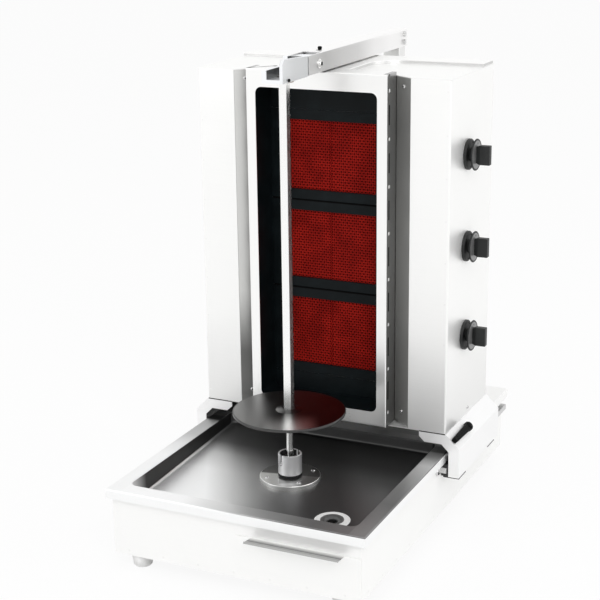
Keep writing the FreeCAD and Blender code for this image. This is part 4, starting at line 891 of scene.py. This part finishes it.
# Knobs: black moulded bezels on the side panel, and knobs with a bar grip on a thin skirt. The
# skirt's dished face carries a satin grey ring with one black dot.
bezel_black = moulded("bezel black", (0.013, 0.014, 0.014), 0.45, 1400, 0.25, 0.35)
dress(bezel_black, "knob_bezels", "knob_1", "knob_2", "knob_3")
ring_grey, place = start("dial ring")
ring_smudge = place.noise((60, 60, 60))
finish_with(place, {"Base Color": ring_smudge.blend((0.22, 0.22, 0.22, 1), (0.32, 0.32, 0.32, 1)),
                    "Roughness": 0.3 + 0.2 * ring_smudge, "Metallic": 0.6})
dial_face, dial_inner, dial_outer, dial_thick, dial_facets = 0.0103, 0.0045, 0.0258, 0.0004, 64
dot_radius, dot_thick, dot_facets, dot_y, dot_z = 0.0016, 0.0003, 20, 0.004, 0.0203
for number, body in ((1, "knob_low"), (2, "knob_middle"), (3, "knob_high")):
    low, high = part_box("knob_" + str(number))
    centre = (low + high) / 2
    face_x = low.x + dial_face
    ring = washer("dial ring", dial_inner, dial_outer, dial_thick, dial_facets)
    ring.transform(Matrix.Translation((face_x, centre.y, centre.z)))
    add_piece("dial_ring_" + str(number), ring, body, ring_grey)
    dot = washer("dot", pin_hole, dot_radius, dot_thick, dot_facets)
    dot.transform(Matrix.Translation((face_x + dot_thick, centre.y + dot_y, centre.z + dot_z)))
    add_piece("dial_dot_" + str(number), dot, body, bezel_black)


# Studio: a plain pale floor and a white backdrop, three soft lamps, and the camera where the
# photograph was taken from.
def seen_rays(wire):
    """1 for rays from the eye or a mirror, and 0 for those that only carry light."""
    eye, mirror, through = (wire.add("ShaderNodeLightPath", out=kind + " Ray")
                            for kind in ("Is Camera", "Is Glossy", "Is Transmission"))
    return eye.larger(mirror).larger(through)


floor_mesh = bpy.data.meshes.new("floor")
floor_mesh.from_pydata([(-30, -30, 0), (30, -30, 0), (30, 30, 0), (-30, 30, 0)], [],
                       [(0, 1, 2, 3)])
floor = bpy.data.objects.new("floor", floor_mesh)
bpy.context.scene.collection.objects.link(floor)
floor_paint = bpy.data.materials.new("floor paint")
floor_paint.use_nodes = True
floor_paint.node_tree.nodes.clear()
paint = Wire(floor_paint.node_tree)
matt = paint.add("ShaderNodeBsdfDiffuse", None, {"Color": (0.96, 0.96, 0.96, 1)})
white = paint.add("ShaderNodeEmission", None, {"Color": (1, 1, 1, 1), "Strength": 1.0})
mixed = paint.add("ShaderNodeMixShader", None, {0: 0.9 * seen_rays(paint), 1: matt, 2: white})
paint.add("ShaderNodeOutputMaterial", None, {"Surface": mixed})
floor_mesh.materials.append(floor_paint)

world = bpy.data.worlds.new("studio")
bpy.context.scene.world = world
world.use_nodes = True
world.node_tree.nodes.clear()
sky = Wire(world.node_tree)
backdrop = sky.add("ShaderNodeBackground", None, {"Color": (1, 1, 1, 1),
                                                  "Strength": 0.7 + 0.3 * seen_rays(sky)})
sky.add("ShaderNodeOutputWorld", None, {"Surface": backdrop})

for name, spot, aim, size, watts in (("key", (2.4, -2.6, 3.0), (0, 0, 0.4), 2.2, 48),
                                     ("fill", (-2.8, -2.2, 2.2), (0, 0, 0.4), 2.4, 26),
                                     ("side", (3.4, 1.0, 1.8), (0, 0.2, 0.5), 2.2, 18)):
    lamp = bpy.data.lights.new(name, "AREA")
    lamp.size = size
    lamp.energy = watts
    holder = bpy.data.objects.new(name, lamp)
    holder.location = spot
    holder.rotation_euler = (Vector(aim) - Vector(spot)).to_track_quat("-Z", "Y").to_euler()
    bpy.context.scene.collection.objects.link(holder)

azimuth, elevation, roll = (math.radians(a) for a in (25.24, 16.56, -0.74))
eye_place = (1.0803, -2.2394, 1.2010)
focal_pixels, picture_pixels, sensor_width = 1452.6, 600, 36
ahead = Vector((-math.sin(azimuth) * math.cos(elevation), math.cos(azimuth) * math.cos(elevation),
                -math.sin(elevation)))
level = ahead.cross(Vector((0, 0, 1))).normalized()
upright = level.cross(ahead)
right = math.cos(roll) * level + math.sin(roll) * upright
above = math.cos(roll) * upright - math.sin(roll) * level
camera = bpy.data.objects.new("camera", bpy.data.cameras.new("camera"))
camera.data.lens = focal_pixels / picture_pixels * sensor_width
camera.data.sensor_width = sensor_width
camera.matrix_world = Matrix.Translation(eye_place) @ Matrix(
    (right, above, -ahead)).transposed().to_4x4()
bpy.context.scene.collection.objects.link(camera)
bpy.context.scene.camera = camera
bpy.context.scene.view_settings.view_transform = "Standard"
